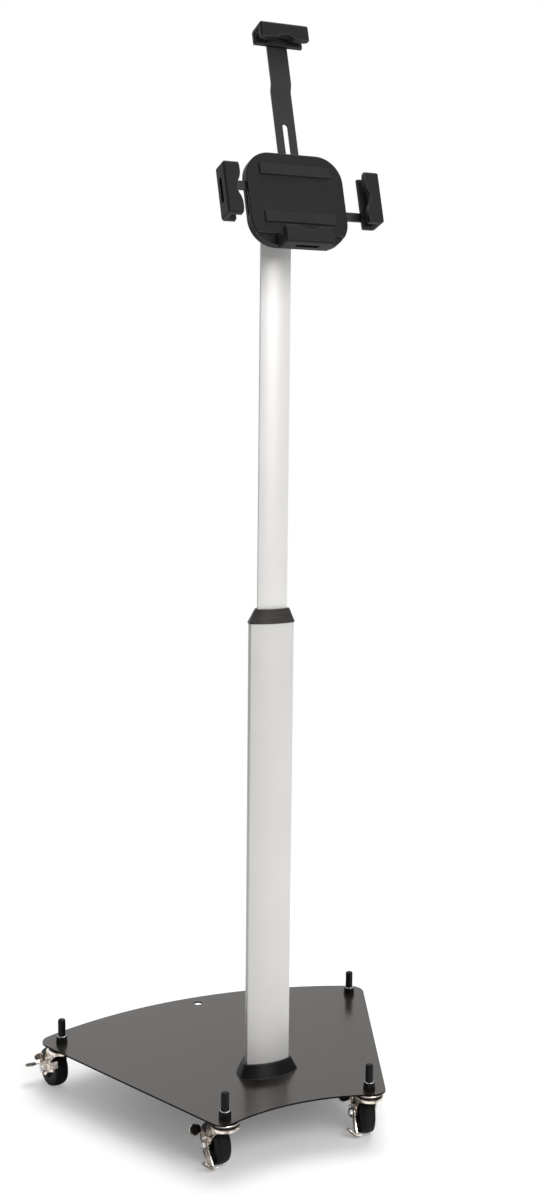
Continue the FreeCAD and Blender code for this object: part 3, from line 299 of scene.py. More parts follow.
def silver(name, tone, corner):
    """Drawn aluminium of a tone, with painted shade: darkened by a factor where the section turns its corners."""
    tube = Finish(name, tone, Metallic=0.22, Roughness=0.4)
    lines = tube.grain(0.5, 3.0, stretch=(1, 1, 0.004), rough=0.7)
    handled = tube.grain(90.0, 4.0)
    body = tube.mixed(handled.eased(0.3, 0.7), shade(tone, 0.98), shade(tone, 1.02))
    # painted shade: the thin flanks that face sideways, at the corners
    flank = tube.facing("X").eased(0.965, 0.985)
    tube.feed(Base_Color=tube.mixed(flank, body, shade(tone, corner)),
              Roughness=0.32 + lines * 0.1 + handled * 0.08,
              Normal=tube.bumped(lines, 0.006, 0.2))
    return tube


def anodised(colours):
    """The upper tube's silver, a touch lighter than the tube colour as painted light."""
    return silver("anodised", shade(colours.tube, 1.02), 0.3)


def anodised_lower(colours):
    """The lower tube's silver, darker than the upper tube's as painted shade."""
    return silver("anodised_lower", shade(colours.tube, 0.89), 0.75)


def satin_black(colours):
    """The base collar's smooth black, with lighter edges that are painted highlights along its ridges."""
    black = colours.plastic
    collar = Finish("satin_black", shade(black, 0.7), Roughness=0.34, Specular_IOR_Level=0.17)
    grain = collar.grain(0.7, 2.0)
    smear = collar.grain(14.0, 3.0, stretch=(1, 1, 0.35))
    # painted highlights: the edges lightened
    wear_and_painted_light = collar.edge_wear(1.0) * 0.7
    collar.feed(Base_Color=collar.mixed(wear_and_painted_light, shade(black, 0.6), shade(black, 14.0)),
                Roughness=0.22 + smear * 0.2 + grain * 0.05,
                Normal=collar.bumped(grain, 0.02, 0.5))
    return collar


def brushed_black(colours):
    """The middle collar's black, brushed around the mast, with lighter edges that are painted highlights along its
    ridges.
    """
    black = colours.brushed
    collar = Finish("brushed_black", shade(colours.plastic, 6.0), Roughness=0.4,
                    Specular_IOR_Level=0.4)
    lines = collar.grain(0.6, 4.0, stretch=(0.02, 0.02, 1), rough=0.7)
    # painted highlights: the edges lightened
    wear_and_painted_light = collar.edge_wear(1.0) * 0.8
    dull = collar.mixed(lines.eased(0.3, 0.7), shade(black, 0.45), shade(black, 1.5))
    collar.feed(Base_Color=collar.mixed(wear_and_painted_light, dull, shade(black, 3.0)),
                Roughness=0.34 + lines * 0.2,
                Normal=collar.bumped(lines, 0.012, 0.4))
    return collar


def moulded_black(colours):
    """The fine-textured black of jaws and knobs, with lighter edges that are partly wear and partly painted
    highlights.
    """
    black = colours.plastic
    moulded = Finish("moulded_black", black, Roughness=0.5, Specular_IOR_Level=0.22)
    grain = moulded.node("ShaderNodeTexVoronoi", {"feature": "SMOOTH_F1"}, {
        "Vector": moulded.place(), "Scale": 1250.0, "Smoothness": 0.6}, output="Distance")
    patch = moulded.grain(22.0, 3.0)
    # lighter edges: partly wear, partly painted highlights
    wear_and_painted_light = moulded.edge_wear(1.1) * 0.8
    moulded.feed(Base_Color=moulded.mixed(wear_and_painted_light, shade(black, 0.55), shade(black, 14.0)),
                 Roughness=0.44 + patch * 0.14 + grain * 0.06,
                 Normal=moulded.bumped(grain, 0.06, 0.6))
    return moulded


def nickel(colours):
    """Plating mottled with painted reflections, and with painted shade in the gap between a swivel's cup and its
    crown, under the plate.
    """
    bright = colours.nickel
    plated = Finish("nickel", bright, Metallic=1.0, Roughness=0.2)
    brushed = plated.grain(0.35, 2.0, stretch=(0.05, 1, 1))
    cloud = plated.grain(7.0, 2.0)
    wear_and_painted_light = plated.edge_wear(0.4) * 0.1
    drop = (PLATE_LOW - plated.part("Z", plated.place())) * (1 / MM)
    # painted shade: a dark band in the gap between cup and crown, just under the plate
    gap_shade = drop.eased(1.2, 1.8) * (1 - drop.eased(4.6, 5.2)) * 0.94
    # painted reflections: the plating mottled darker and lighter as if it mirrored dark surroundings
    painted_reflections = plated.mixed(cloud.eased(0.36, 0.6), shade(bright, 0.42), shade(bright, 1.12))
    plated.feed(Base_Color=plated.mixed(gap_shade, painted_reflections, shade(bright, 0.04)),
                Roughness=0.16 + cloud * 0.14 + wear_and_painted_light,
                Normal=plated.bumped(brushed + cloud * 2.0, 0.02, 0.3))
    return plated


def zinc(colours):
    """The bright steel of screws, bolts and nuts."""
    bright = colours.zinc
    steel = Finish("zinc", bright, Metallic=1.0, Roughness=0.3)
    cloud = steel.grain(3.0, 3.0)
    steel.feed(Base_Color=steel.mixed(cloud.eased(0.25, 0.8), shade(bright, 0.8), shade(bright, 1.08)),
               Roughness=0.24 + cloud * 0.2)
    return steel


def brass(colours):
    """Turned brass."""
    insert = Finish("brass", colours.brass, Metallic=1.0, Roughness=0.3)
    turned = insert.grain(0.3, 2.0, stretch=(1, 0.1, 1))
    insert.feed(Roughness=0.22 + turned * 0.2, Normal=insert.bumped(turned, 0.01, 0.4))
    return insert


def nylon(colours):
    """Grey nylon."""
    guide = Finish("nylon", colours.nylon, Roughness=0.5)
    grain = guide.grain(0.8, 2.0)
    guide.feed(Roughness=0.42 + grain * 0.15, Normal=guide.bumped(grain, 0.02, 0.4))
    return guide


def wheel_plastic(colours):
    """The smooth black of wheel centres and stem caps, and of the black faces on the brake's tabs, which are
    painted reflection.
    """
    black = colours.rubber
    wheel = Finish("wheel_plastic", shade(black, 0.8), Roughness=0.35, Specular_IOR_Level=0.13)
    cloud = wheel.grain(7.0, 3.0)
    wear_and_painted_light = wheel.edge_wear(0.4) * 0.6
    wheel.feed(Base_Color=wheel.mixed(wear_and_painted_light, shade(black, 0.75), shade(black, 9.0)),
               Roughness=0.3 + cloud * 0.15)
    return wheel


def tread(colours):
    """The tyres' rubber, a little dusty."""
    black = colours.rubber
    tyre = Finish("tread", black, Roughness=0.5, Specular_IOR_Level=0.14)
    grain = tyre.grain(0.5, 2.0)
    dust = tyre.grain(6.0, 4.0)
    tyre.feed(Base_Color=tyre.mixed(dust.eased(0.45, 0.75) * 0.5, black, shade(black, 1.9)),
              Roughness=0.38 + dust * 0.24,
              Normal=tyre.bumped(grain, 0.03, 0.4))
    return tyre


def foam(colours):
    """The foam of pads and liners."""
    black = colours.rubber
    pad = Finish("foam", shade(black, 1.5), Roughness=0.9)
    cells = pad.node("ShaderNodeTexVoronoi", {"feature": "F1"}, {
        "Vector": pad.place(), "Scale": 1700.0}, output="Distance")
    pad.feed(Base_Color=pad.mixed(cells.eased(0.1, 0.6), shade(black, 0.9), shade(black, 1.9)),
             Roughness=0.8 + cells * 0.15,
             Normal=pad.bumped(cells, 0.15, 0.7))
    return pad


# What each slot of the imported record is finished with

SLOT_FINISH = {
    "plate_black": powder_coat,
    "collar_black": satin_black,
    "silver_tube": anodised,
    "bright_steel": zinc,
    "caster_nickel": nickel,
    "cap_black": wheel_plastic,
    "nylon": nylon,
    "brass_insert": brass,
    "knob_black": moulded_black,
    "bracket_black": bracket_coat,
    "arm_steel": bracket_coat,
    "jaw_black": moulded_black,
    "foam": foam,
    "wheel_black": wheel_plastic,
    "tyre_black": tread,
}
MATERIALS = {}


def dye(piece, finish):
    """Give a piece the material of a finish, which is made once."""
    if finish not in MATERIALS:
        MATERIALS[finish] = finish(bpy.context.scene.stand_colours).material
    piece.data.materials.clear()
    piece.data.materials.append(MATERIALS[finish])


# Modelling, in steps that a person would take


def rest():
    """Leave edit mode with nothing selected."""
    if bpy.context.mode != "OBJECT":
        bpy.ops.object.mode_set(mode="OBJECT")
    bpy.ops.object.select_all(action="DESELECT")


def take(piece):
    """Select one piece and make it the active one."""
    rest()
    piece.select_set(True)
    bpy.context.view_layer.objects.active = piece


def open_up(piece):
    """Take a piece into edit mode."""
    take(piece)
    bpy.ops.object.mode_set(mode="EDIT")


def face_outwards():
    """Turn every face of the mesh in edit mode outwards."""
    bpy.ops.mesh.select_all(action="SELECT")
    bpy.ops.mesh.normals_make_consistent(inside=False)
    rest()


def bend(start, middle, end, turn):
    """Points along the arc through three points, without its first, some degrees apart."""
    (ax, ay), (bx, by), (cx, cy) = start, middle, end
    spread = 2 * (ax * (by - cy) + bx * (cy - ay) + cx * (ay - by))
    squares = [x * x + y * y for x, y in (start, middle, end)]
    x = (squares[0] * (by - cy) + squares[1] * (cy - ay) + squares[2] * (ay - by)) / spread
    y = (squares[0] * (cx - bx) + squares[1] * (ax - cx) + squares[2] * (bx - ax)) / spread
    radius = math.hypot(ax - x, ay - y)
    first, halfway, last = (math.atan2(py - y, px - x) for px, py in (start, middle, end))
    sweep = (last - first) % math.tau
    if (halfway - first) % math.tau > sweep:
        sweep -= math.tau
    steps = max(2, round(abs(math.degrees(sweep)) / turn))
    angles = [first + sweep * step / steps for step in range(1, steps + 1)]
    return [(x + radius * math.cos(angle), y + radius * math.sin(angle)) for angle in angles]


def outline(path, turn=7.0):
    """The points of a closed outline: corners joined by lines, or by arcs through a Bend."""
    points = []
    for number, step in enumerate(path):
        if isinstance(step, Bend):
            after = path[(number + 1) % len(path)]
            points += bend(path[number - 1], step, after, turn)[:-1]
        else:
            points.append(step)
    return points


def ring(radius, steps, x=0.0, y=0.0):
    """The points of a circle, or of a hexagon with six steps."""
    angles = [math.tau * step / steps for step in range(steps)]
    return [(x + radius * math.cos(angle), y + radius * math.sin(angle)) for angle in angles]


def trace(name, points):
    """Draw a line of points, in millimetres, by pulling one vertex along."""
    rest()
    bpy.ops.mesh.primitive_plane_add(size=MM, location=(0, 0, 0))
    piece = bpy.context.object
    piece.name = name
    bpy.ops.object.mode_set(mode="EDIT")
    bpy.ops.mesh.select_mode(type="VERT")
    bpy.ops.mesh.select_all(action="SELECT")
    bpy.ops.mesh.merge(type="CENTER")
    last = Vector(points[0]) * MM
    bpy.ops.transform.translate(value=last)
    for point in points[1:]:
        here = Vector(point) * MM
        bpy.ops.mesh.extrude_region_move(TRANSFORM_OT_translate={"value": here - last})
        last = here
    return piece


def drawn(name, points, low, high):
    """A flat outline given thickness between two heights."""
    piece = trace(name, [(x, y, low) for x, y in points])
    bpy.ops.mesh.select_all(action="SELECT")
    bpy.ops.mesh.edge_face_add()
    bpy.ops.mesh.select_all(action="SELECT")
    bpy.ops.mesh.extrude_region_move(TRANSFORM_OT_translate={"value": (0, 0, (high - low) * MM)})
    face_outwards()
    return piece


def spun(name, profile, steps=64, closed=False):
    """A profile of radius and height, in millimetres, turned about the upright axis."""
    points = [(radius, 0, height) for radius, height in profile]
    piece = trace(name, points + points[:1] if closed else points)
    bpy.ops.mesh.select_all(action="SELECT")
    bpy.ops.mesh.spin(steps=steps, angle=math.tau, center=(0, 0, 0), axis=(0, 0, 1))
    bpy.ops.mesh.select_all(action="SELECT")
    bpy.ops.mesh.remove_doubles(threshold=0.002 * MM)
    face_outwards()
    return piece


def put(piece, matrix):
    """Bring a piece into place and keep its place in its mesh."""
    take(piece)
    piece.matrix_world = matrix @ piece.matrix_world
    bpy.ops.object.transform_apply(location=True, rotation=True, scale=True)
    return piece


def use(piece, kind, **settings):
    """Add a modifier and apply it."""
    take(piece)
    modifier = piece.modifiers.new(kind.title(), kind)
    for name, setting in settings.items():
        setattr(modifier, name, setting)
    bpy.ops.object.modifier_apply(modifier=modifier.name)
    return piece


def soften(piece, width, segments=2, angle=28):
    """Round every sharp edge of a piece."""
    return use(piece, "BEVEL", width=width, segments=segments, limit_method="ANGLE",
               angle_limit=math.radians(angle), use_clamp_overlap=True, miter_outer="MITER_ARC")


def rounded(piece, radius, test):
    """Round the edges whose two ends pass a test."""
    open_up(piece)
    bpy.ops.mesh.select_mode(type="EDGE")
    bpy.ops.mesh.select_all(action="DESELECT")
    mesh = bmesh.from_edit_mesh(piece.data)
    for edge in mesh.edges:
        if test(edge.verts[0].co, edge.verts[1].co):
            edge.select_set(True)
    mesh.select_flush_mode()
    bmesh.update_edit_mesh(piece.data)
    bpy.ops.mesh.bevel(offset=radius, segments=5, affect="EDGES")
    rest()
    return piece


def cut(piece, tool, operation="DIFFERENCE"):
    """Cut another piece out of a piece, or keep what the two share."""
    use(piece, "BOOLEAN", operation=operation, object=tool, solver="EXACT")
    bpy.data.objects.remove(tool)
    return piece


def joined(name, *pieces):
    """Several shells as one piece."""
    rest()
    for piece in pieces:
        piece.select_set(True)
    bpy.context.view_layer.objects.active = pieces[0]
    bpy.ops.object.join()
    pieces[0].name = name
    return pieces[0]


def copied(piece, name):
    """A copy of a piece with a mesh of its own."""
    take(piece)
    bpy.ops.object.duplicate()
    twin = bpy.context.object
    twin.name = name
    return twin


def merged_copy(node, name):
    """A copy of a solid with its loose triangles merged into whole faces."""
    twin = copied(NODES[node], name)
    for key in list(twin.keys()):
        del twin[key]
    twin.parent = None
    open_up(twin)
    bpy.ops.mesh.select_all(action="SELECT")
    bpy.ops.mesh.remove_doubles(threshold=0.003 * MM)
    bpy.ops.mesh.dissolve_limited(angle_limit=math.radians(0.6))
    rest()
    return twin


def hand_in(piece, body, slot, *nodes, smooth=32, finish=None):
    """Finish a piece: its shading and material, the body it rides on and the solids it stands for."""
    take(piece)
    bpy.ops.object.shade_smooth_by_angle(angle=math.radians(smooth))
    use(piece, "WEIGHTED_NORMAL", keep_sharp=True)
    dye(piece, finish or SLOT_FINISH[slot])
    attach(piece, body)
    if nodes:
        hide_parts(*nodes)
    rest()
    return piece


def dress(node, body, width, segments=2, angle=40, name=None):
    """Hand in a solid's copy whose edges sharper than an angle are rounded."""
    piece = merged_copy(node, name or node + "_shape")
    soften(piece, width, segments, angle)
    return hand_in(piece, body, NODE_SLOT[node], node)


# Base


class STAND_OT_plate(bpy.types.Operator):
    """Make the fan-shaped base plate"""

    bl_idname = "stand.plate"
    bl_label = "Base plate"

    def execute(self, context):
        dress("base_plate", "base", width=0.25 * MM, angle=28, name="plate")
        return {"FINISHED"}


# On each stem, in millimetres: the washer's thickness, the height of the nut's round part over its
# hexagon and the hexagon's reach; and how far each stem's pieces turn from the last, in degrees

WASHER = 1.6
NUT_RISE = 1.4
NUT_REACH = 7.2
STEM_TURN = 17


class STAND_OT_stems(bpy.types.Operator):
    """Make the washers, lock nuts and black caps over the caster stems"""

    bl_idname = "stand.stems"
    bl_label = "Stem caps and nuts"

    def execute(self, context):
        for kind, model, slot, node in (("cap", self.cap(), "cap_black", "stem_caps"),
                                        ("nut", self.nut(), "cap_black", "stem_nuts"),
                                        ("ring", self.locking_ring(), "bright_steel", "stem_nuts"),
                                        ("washer", self.washer(), "cap_black", "stem_washers")):
            for number, name in enumerate(CORNERS):
                x, y, _ = JOINTS["swivel_" + name]["pos_m"]
                turn = Matrix.Rotation(math.radians(STEM_TURN * number), 4, "Z")
                one = put(copied(model, f"{kind}_{name}"), Matrix.Translation((x, y, 0)) @ turn)
                hand_in(one, "base", slot, node)
            bpy.data.objects.remove(model)
        return {"FINISHED"}

    @staticmethod
    def cap():
        """The rounded cap."""
        low, high = (corner.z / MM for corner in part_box("stem_caps"))
        return spun("cap_model", [
            (4.1, low), (4.9, low), (4.9, low + 1.0), (4.75, low + 1.3), (4.75, high - 2.6),
            (4.45, high - 1.3), (3.6, high - 0.45), (2.2, high - 0.08), (0, high)])

    @staticmethod
    def nut():
        """The hexagon with its corners turned off, and the round part over it."""
        low = PLATE_TOP / MM + WASHER
        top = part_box("stem_nuts")[1].z / MM
        high = top - NUT_RISE
        nut = drawn("nut_hexagon", ring(NUT_REACH, 6), low, high)
        turned = spun("nut_chamfer", [
            (0, low), (6.6, low), (7.3, low + 0.5), (7.3, high - 0.9), (6.3, high), (0, high)])
        soften(cut(nut, turned, "INTERSECT"), 0.15 * MM)
        rise = spun("nut_rise", [
            (4.1, high), (5.9, high), (5.75, top - 0.45), (4.9, top - 0.3), (4.1, top - 0.35)],
            closed=True)
        return joined("nut_model", nut, rise)

    @staticmethod
    def locking_ring():
        """The bright ring in the nut's top."""
        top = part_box("stem_nuts")[1].z / MM
        return spun("ring_model", [
            (4.9, top - 0.4), (5.75, top - 0.5), (5.7, top - 0.2), (5.3, top), (4.95, top - 0.15)],
            closed=True)

    @staticmethod
    def washer():
        """The washer with its rounded rim."""
        low = PLATE_TOP / MM
        high = low + WASHER
        return spun("washer_model", [
            (4.25, low), (7.1, low), (7.3, low + 0.25), (7.3, high - 0.3), (7.0, high),
            (4.25, high)], closed=True)


# Casters


# Outlines of the leg and of the rocker's plate, in millimetres: x along the trail, y up from the
# plate's underside for the leg, and from the axle for the rocker, whose pedal is drawn straight up

LEG = [
    (-12.7, -6.9), (17.0, -6.9), (30.5, -37.2), Bend(25.0, -44.8), (16.1, -42.0), Bend(4.1, -19.6),
    (-12.7, -9.3),
]
ROCKER = [
    (5, 7.4), Bend(8.8, 0), (4.5, -7.6), (2, -26.3), (-9.5, -24.8), (-6.2, -6.2), Bend(-8.8, -1),
    (-8.4, 2.2), (-18, 2.6), (-18, 8.2), (-7.5, 6.2), (-5, 11.5), (5, 11.5),
]

# The axle, in millimetres: where it is along the trail and under the plate, and its holes' radius

AXLE_AT = (22.5, -37.2)
AXLE_HOLE = 3.06

# The faces of the legs and of the rocker's plate, in millimetres from the wheel's middle, what a
# cutter has to spare beyond them, and the radius of a brake shoe's and a heel's tip

LEG_INNER, LEG_OUTER = 10.0, 12.0
ROCKER_INNER, ROCKER_OUTER = 12.3, 14.1
SPARE = 1.0
TIP = 3.4

# A raised pedal's turn from upright, in degrees, the ribs on each side of a wheel and the sides
# that stand for an axle hole's circle

PEDAL_UP = 30
RIBS = 8
HOLE_STEPS = 32

# Turns a drawn outline to face along a caster: its x across the wheel, its y up

FACING = Matrix.Rotation(math.radians(90), 4, "Z") @ UPRIGHT


def caster_frame(name):
    """A caster's frame: its stem on the plate's underside, x along the trail, y to the pedal."""
    x, y, _ = JOINTS["swivel_" + name]["pos_m"]
    side = Vector(JOINTS["roll_" + name]["axis"])
    trail = Vector((side.y, -side.x, 0))
    turn = Matrix((trail, side, Vector((0, 0, 1)))).transposed().to_4x4()
    return Matrix.Translation((x, y, PLATE_LOW)) @ turn


def wheel_frame(name):
    """A wheel's frame: its centre, with its caster's directions."""
    centre = Vector(JOINTS["roll_" + name]["pos_m"])
    return Matrix.Translation(centre) @ caster_frame(name).to_3x3().to_4x4()


def rocker_frame(name):
    """A brake rocker's frame: its wheel's, turned from upright to where the rocker rests."""
    pressed = -JOINTS["brake_turn_" + name]["range_deg"][0]
    return wheel_frame(name) @ Matrix.Rotation(math.radians(PEDAL_UP + pressed), 4, "Y")


# What each kind of caster piece is: its slot, the bodies that it rides on, its frame and its solids

CASTER = {
    "fork": ("caster_nickel", "fork_{}", "stem", ["fork_{}"]),
    "tyre": ("tyre_black", "wheel_{}", "axle", ["tyre_{}"]),
    "wheel_core": ("wheel_black", "wheel_{}", "axle", ["wheel_core_{}"]),
    "axle": ("bright_steel", "fork_{}", "axle", ["axle_{}"]),
    "brake": ("caster_nickel", "brake_{}", "rocker", ["brake_{}"]),
    # the pedal's black faces are painted reflection, the dark that the dished tabs mirror
    "pedal": ("wheel_black", "brake_{}", "rocker", []),
    "cup": ("caster_nickel", "base", "stem", ["swivel_cups"]),
}


class STAND_OT_casters(bpy.types.Operator):
    """Make the four casters"""

    bl_idname = "stand.casters"
    bl_label = "Casters"

    def execute(self, context):
        sizes = context.scene.stand_sizes
        models = {
            "fork": self.fork(sizes),
            "tyre": self.tyre(sizes),
            "wheel_core": self.core(),
            "axle": self.axle(),
            "brake": self.rocker(sizes),
            "pedal": self.pedal(sizes),
            "cup": self.cup(),
        }
        for name in CORNERS:
            frames = {
                "stem": caster_frame(name),
                "axle": wheel_frame(name) @ UPRIGHT.inverted(),
                "rocker": rocker_frame(name),
            }
            for kind, (slot, body, place, nodes) in CASTER.items():
                one = put(copied(models[kind], f"{kind}_shape_{name}"), frames[place])
                hand_in(one, body.format(name), slot, *(node.format(name) for node in nodes))
        for model in models.values():
            bpy.data.objects.remove(model)
        return {"FINISHED"}

    @staticmethod
    def cup():
        """The swivel's fixed cup, a shallow stamped dish under the plate."""
        return spun("cup_model", [
            (4, -0.02), (12.5, -0.02), (16.8, -0.3), (17.2, -0.8), (17.1, -1.4), (16.5, -1.7),
            (15.7, -2.1), (15.5, -3.4), (15.2, -4.4), (12.0, -4.1), (4, -4.1)], closed=True)

    @staticmethod
    def fork(sizes):
        """The swivelling fork: a domed crown with a skirt, and two pressed legs."""
        crown = spun("fork_crown", [
            (5.06, -4.75), (11.0, -4.75), (15.2, -4.9), (16.6, -5.5), (17.0, -6.6), (17.0, -9.0),
            (16.7, -9.3), (15.2, -9.3), (15.0, -8.9), (15.0, -6.9), (5.06, -6.9)], closed=True)
        legs = []
        for shift in (0, LEG_INNER + LEG_OUTER):
            leg = drawn("fork_leg", outline(LEG), LEG_INNER, LEG_OUTER)
            hole = ring(AXLE_HOLE, HOLE_STEPS, *AXLE_AT)
            cut(leg, drawn("leg_hole", hole, LEG_INNER - SPARE, LEG_OUTER + SPARE))
            soften(leg, sizes.sheet_edge)
            legs.append(put(leg, Matrix.Translation((0, shift * MM, 0)) @ UPRIGHT))
        boss = spun("leg_boss", [
            (AXLE_HOLE, 0), (6.6, 0), (7.4, -0.3), (AXLE_HOLE, -0.3)], closed=True)
        x, z = AXLE_AT
        put(boss, Matrix.Translation(Vector((x, -LEG_OUTER, z)) * MM) @ UPRIGHT)
        return joined("fork_model", crown, *legs, boss)

    @staticmethod
    def tyre(sizes):
        """The tread, with a line moulded at each side."""
        groove = sizes.groove / MM
        half = [
            (15.5, 9.0), (21.1, 9.0), (23.2, 8.2), (24.1, 6.4), (24.35, 5.2), (24.35 - groove, 5.0),
            (24.4, 4.8), (24.75, 2.8)]
        other = [(radius, -height) for radius, height in reversed(half)]
        return spun("tyre_model", half + [(25.0, 0)] + other, 96, closed=True)

    @staticmethod
    def core():
        """The wheel's centre, dished between a boss and a rim, with radial ribs in the dish."""
        face = [(3.05, 9.7), (6.5, 9.7), (6.5, 7.2), (13.0, 6.8), (13.4, 8.4), (15.4, 8.6)]
        back = [(radius, -height) for radius, height in reversed(face)]
        centre = spun("core_centre", face + back, 72, closed=True)
        ribs = []
        for side in (math.pi, 0):
            for number in range(RIBS):
                rib = drawn("core_rib", [
                    (6.2, -0.6), (13.4, -0.45), (13.4, 0.45), (6.2, 0.6)], 6.5, 8.2)
                soften(rib, 0.15 * MM, 1)
                turn = Matrix.Rotation(math.tau * number / RIBS, 4, "Z")
                ribs.append(put(rib, turn @ Matrix.Rotation(side, 4, "X")))
        return joined("core_model", centre, *ribs)

    @staticmethod
    def axle():
        """The axle bolt with its nut on the pedal's side."""
        bolt = spun("axle_bolt", [
            (0, -13.8), (3.4, -13.75), (5.0, -13.3), (5.6, -12.7), (5.6, -12.05), (3.0, -12.02),
            (3.0, 18.6), (2.5, 19.3), (0, 19.4)], 40)
        nut = soften(drawn("axle_nut", ring(5.6, 6), 14.45, 18.3), 0.35 * MM)
        return joined("axle_model", bolt, nut)

    @staticmethod
    def rocker(sizes):
        """The brake rocker: a stamped plate, a shoe under the wheel, a heel tab and the pedal's arm."""
        plate = drawn("brake_plate", outline(ROCKER), ROCKER_INNER, ROCKER_OUTER)
        hole = ring(AXLE_HOLE, HOLE_STEPS)
        cut(plate, drawn("rocker_hole", hole, ROCKER_INNER - SPARE, ROCKER_OUTER + SPARE))
        soften(plate, sizes.sheet_edge)
        put(plate, Matrix.Translation((0, (ROCKER_INNER + ROCKER_OUTER) * MM, 0)) @ UPRIGHT)
        shoe = drawn("brake_shoe", [
            (7.5, -26.3), (7.5, -28.1), (14.1, -28.1), (24.6, -19.1), (24.6, -17.3), (14.1, -26.3)],
            -10.5, -1.5)
        rounded(shoe, TIP * MM, lambda a, b: min(a.x, b.x) > 24.5 * MM and a.z == b.z)
        heel = drawn("brake_heel", [
            (-18, ROCKER_INNER), (-10.5, ROCKER_INNER), (-10.5, 22.1), (-18, 22.1)], 6.4, 8.2)
        rounded(heel, TIP * MM, lambda a, b: min(a.y, b.y) > 22 * MM and a.z != b.z)
        arm = drawn("brake_arm", outline([
            (ROCKER_INNER, 6.7), (ROCKER_OUTER, 6.7), (17.0, 13.6), (24.0, 11.5), Bend(31.0, 18.5),
            (24.0, 25.5), (17.0, 22.7), (ROCKER_INNER, 11.5)]), -5.0, -3.2)
        for part in (shoe, heel, arm):
            soften(part, sizes.sheet_edge)
        for part in (shoe, arm):
            put(part, FACING)
        return joined("brake_model", plate, shoe, heel, arm)

    @staticmethod
    def pedal(sizes):
        """Black faces inside bright rims, on the pedal and on the shoe: painted reflection, the dark that the
        dished tabs mirror.
        """
        pad = drawn("pedal_painted_reflection", outline([
            (17.8, 14.4), (24.0, 12.6), Bend(29.9, 18.5), (24.0, 24.4), (17.8, 21.8),
            Bend(16.6, 18.0)]), -5.6, -4.9)
        soften(pad, sizes.sheet_edge, 3)
        shoe_reflection = drawn("shoe_painted_reflection", [
            (14.9, -25.6), (24.0, -17.8), (23.7, -17.4), (14.6, -25.2)], -9.9, -2.1)
        soften(shoe_reflection, 0.15 * MM)
        for part in (pad, shoe_reflection):
            put(part, FACING)
        return joined("pedal_model", pad, shoe_reflection)


# Mast


Section = namedtuple("Section", "half corner front rear")

# The tubes' sections, in millimetres: half the width, and where corners, front and back are

LOWER_TUBE = Section(27.6, 0, -6.3, 29)
UPPER_TUBE = Section(19, 1, -3, 16)

# A section's rounded corner: its size in millimetres, and where it meets the bowed front and passes
# its middle, in from the side and along it, as shares of that size

SOFT = 1.2
MEET_IN, MEET_ALONG = 0.9, -0.434
MIDDLE_IN, MIDDLE_ALONG = 0.243, 0.153

# The collars' rings, in millimetres: the tube inside, how far the ring stands out from its section,
# how far its corners come forward and its height over the collar's foot

FLARE = [
    (LOWER_TUBE, 10.2, 4.08, 0),
    (LOWER_TUBE, 9.8, 3.9, 0.8),
    (LOWER_TUBE, 3.3, 0, 14.4),
    (LOWER_TUBE, 3.0, 0, 15),
    (LOWER_TUBE, 0.25, 0, 15),
]
FERRULE = [
    (LOWER_TUBE, 1.0, 0, 0),
    (LOWER_TUBE, 1.0, 0, 1.4),
    (UPPER_TUBE, 3.2, 0, 16.4),
    (UPPER_TUBE, 3.0, 0, 17),
    (UPPER_TUBE, 0.3, 0, 17),
]


def grown(section, out, forward):
    """A section that stands out all round, with its corners further forward."""
    half, corner, front, rear = section
    return Section(half + out, corner - forward, front - out, rear + out)


def d_outline(section):
    """The mast's section: a gently bowed front, a round back and rounded corners between them."""
    half, corner, front, rear = section
    meet_x, meet_y = half - SOFT * MEET_IN, corner + SOFT * MEET_ALONG
    middle_x, middle_y = half - SOFT * MIDDLE_IN, corner + SOFT * MIDDLE_ALONG
    return outline([
        (-half, corner + SOFT), Bend(-middle_x, middle_y), (-meet_x, meet_y), Bend(0, front),
        (meet_x, meet_y), Bend(middle_x, middle_y), (half, corner + SOFT), Bend(0, rear),
    ], turn=4.0)


class STAND_OT_tubes(bpy.types.Operator):
    """Make the two mast tubes"""

    bl_idname = "stand.tubes"
    bl_label = "Mast tubes"

    def execute(self, context):
        for node, body, section, finish in (("lower_tube", "base", LOWER_TUBE, anodised_lower),
                                            ("upper_tube", "mast_upper", UPPER_TUBE, anodised)):
            low, high = (corner.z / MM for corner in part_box(node))
            tube = drawn(node.replace("tube", "mast"), d_outline(section), low, high)
            soften(tube, 0.3 * MM)
            put(tube, Matrix.Translation((0, MAST_Y, 0)))
            hand_in(tube, body, "silver_tube", node, finish=finish)
        return {"FINISHED"}


class STAND_OT_collars(bpy.types.Operator):
    """Make the flared base collar and the ferrule between the tubes"""

    bl_idname = "stand.collars"
    bl_label = "Collars"

    def execute(self, context):
        self.collar("collar_foot", "base_collar", FLARE, satin_black)
        self.collar("collar_middle", "tube_ferrule", FERRULE, brushed_black)
        return {"FINISHED"}

    @staticmethod
    def collar(name, node, rings, finish):
        """Rings of the mast's section, one above the other, bridged into a wall."""
        foot = (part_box(node)[0].z - PLATE_TOP) / MM
        loops = []
        for tube, out, forward, level in rings:
            points = d_outline(grown(tube, out, forward))
            loops.append(trace(name, [(x, y, foot + level) for x, y in points]))
            bpy.ops.mesh.select_all(action="SELECT")
            bpy.ops.mesh.edge_face_add()
            bpy.ops.mesh.delete(type="ONLY_FACE")
        piece = joined(name, *loops)
        open_up(piece)
        bpy.ops.mesh.select_all(action="SELECT")
        bpy.ops.mesh.bridge_edge_loops()
        face_outwards()
        put(piece, MAST)
        use(piece, "SOLIDIFY", thickness=0.4 * MM, offset=-1.0)
        return hand_in(piece, "base", "collar_black", node, smooth=24, finish=finish)


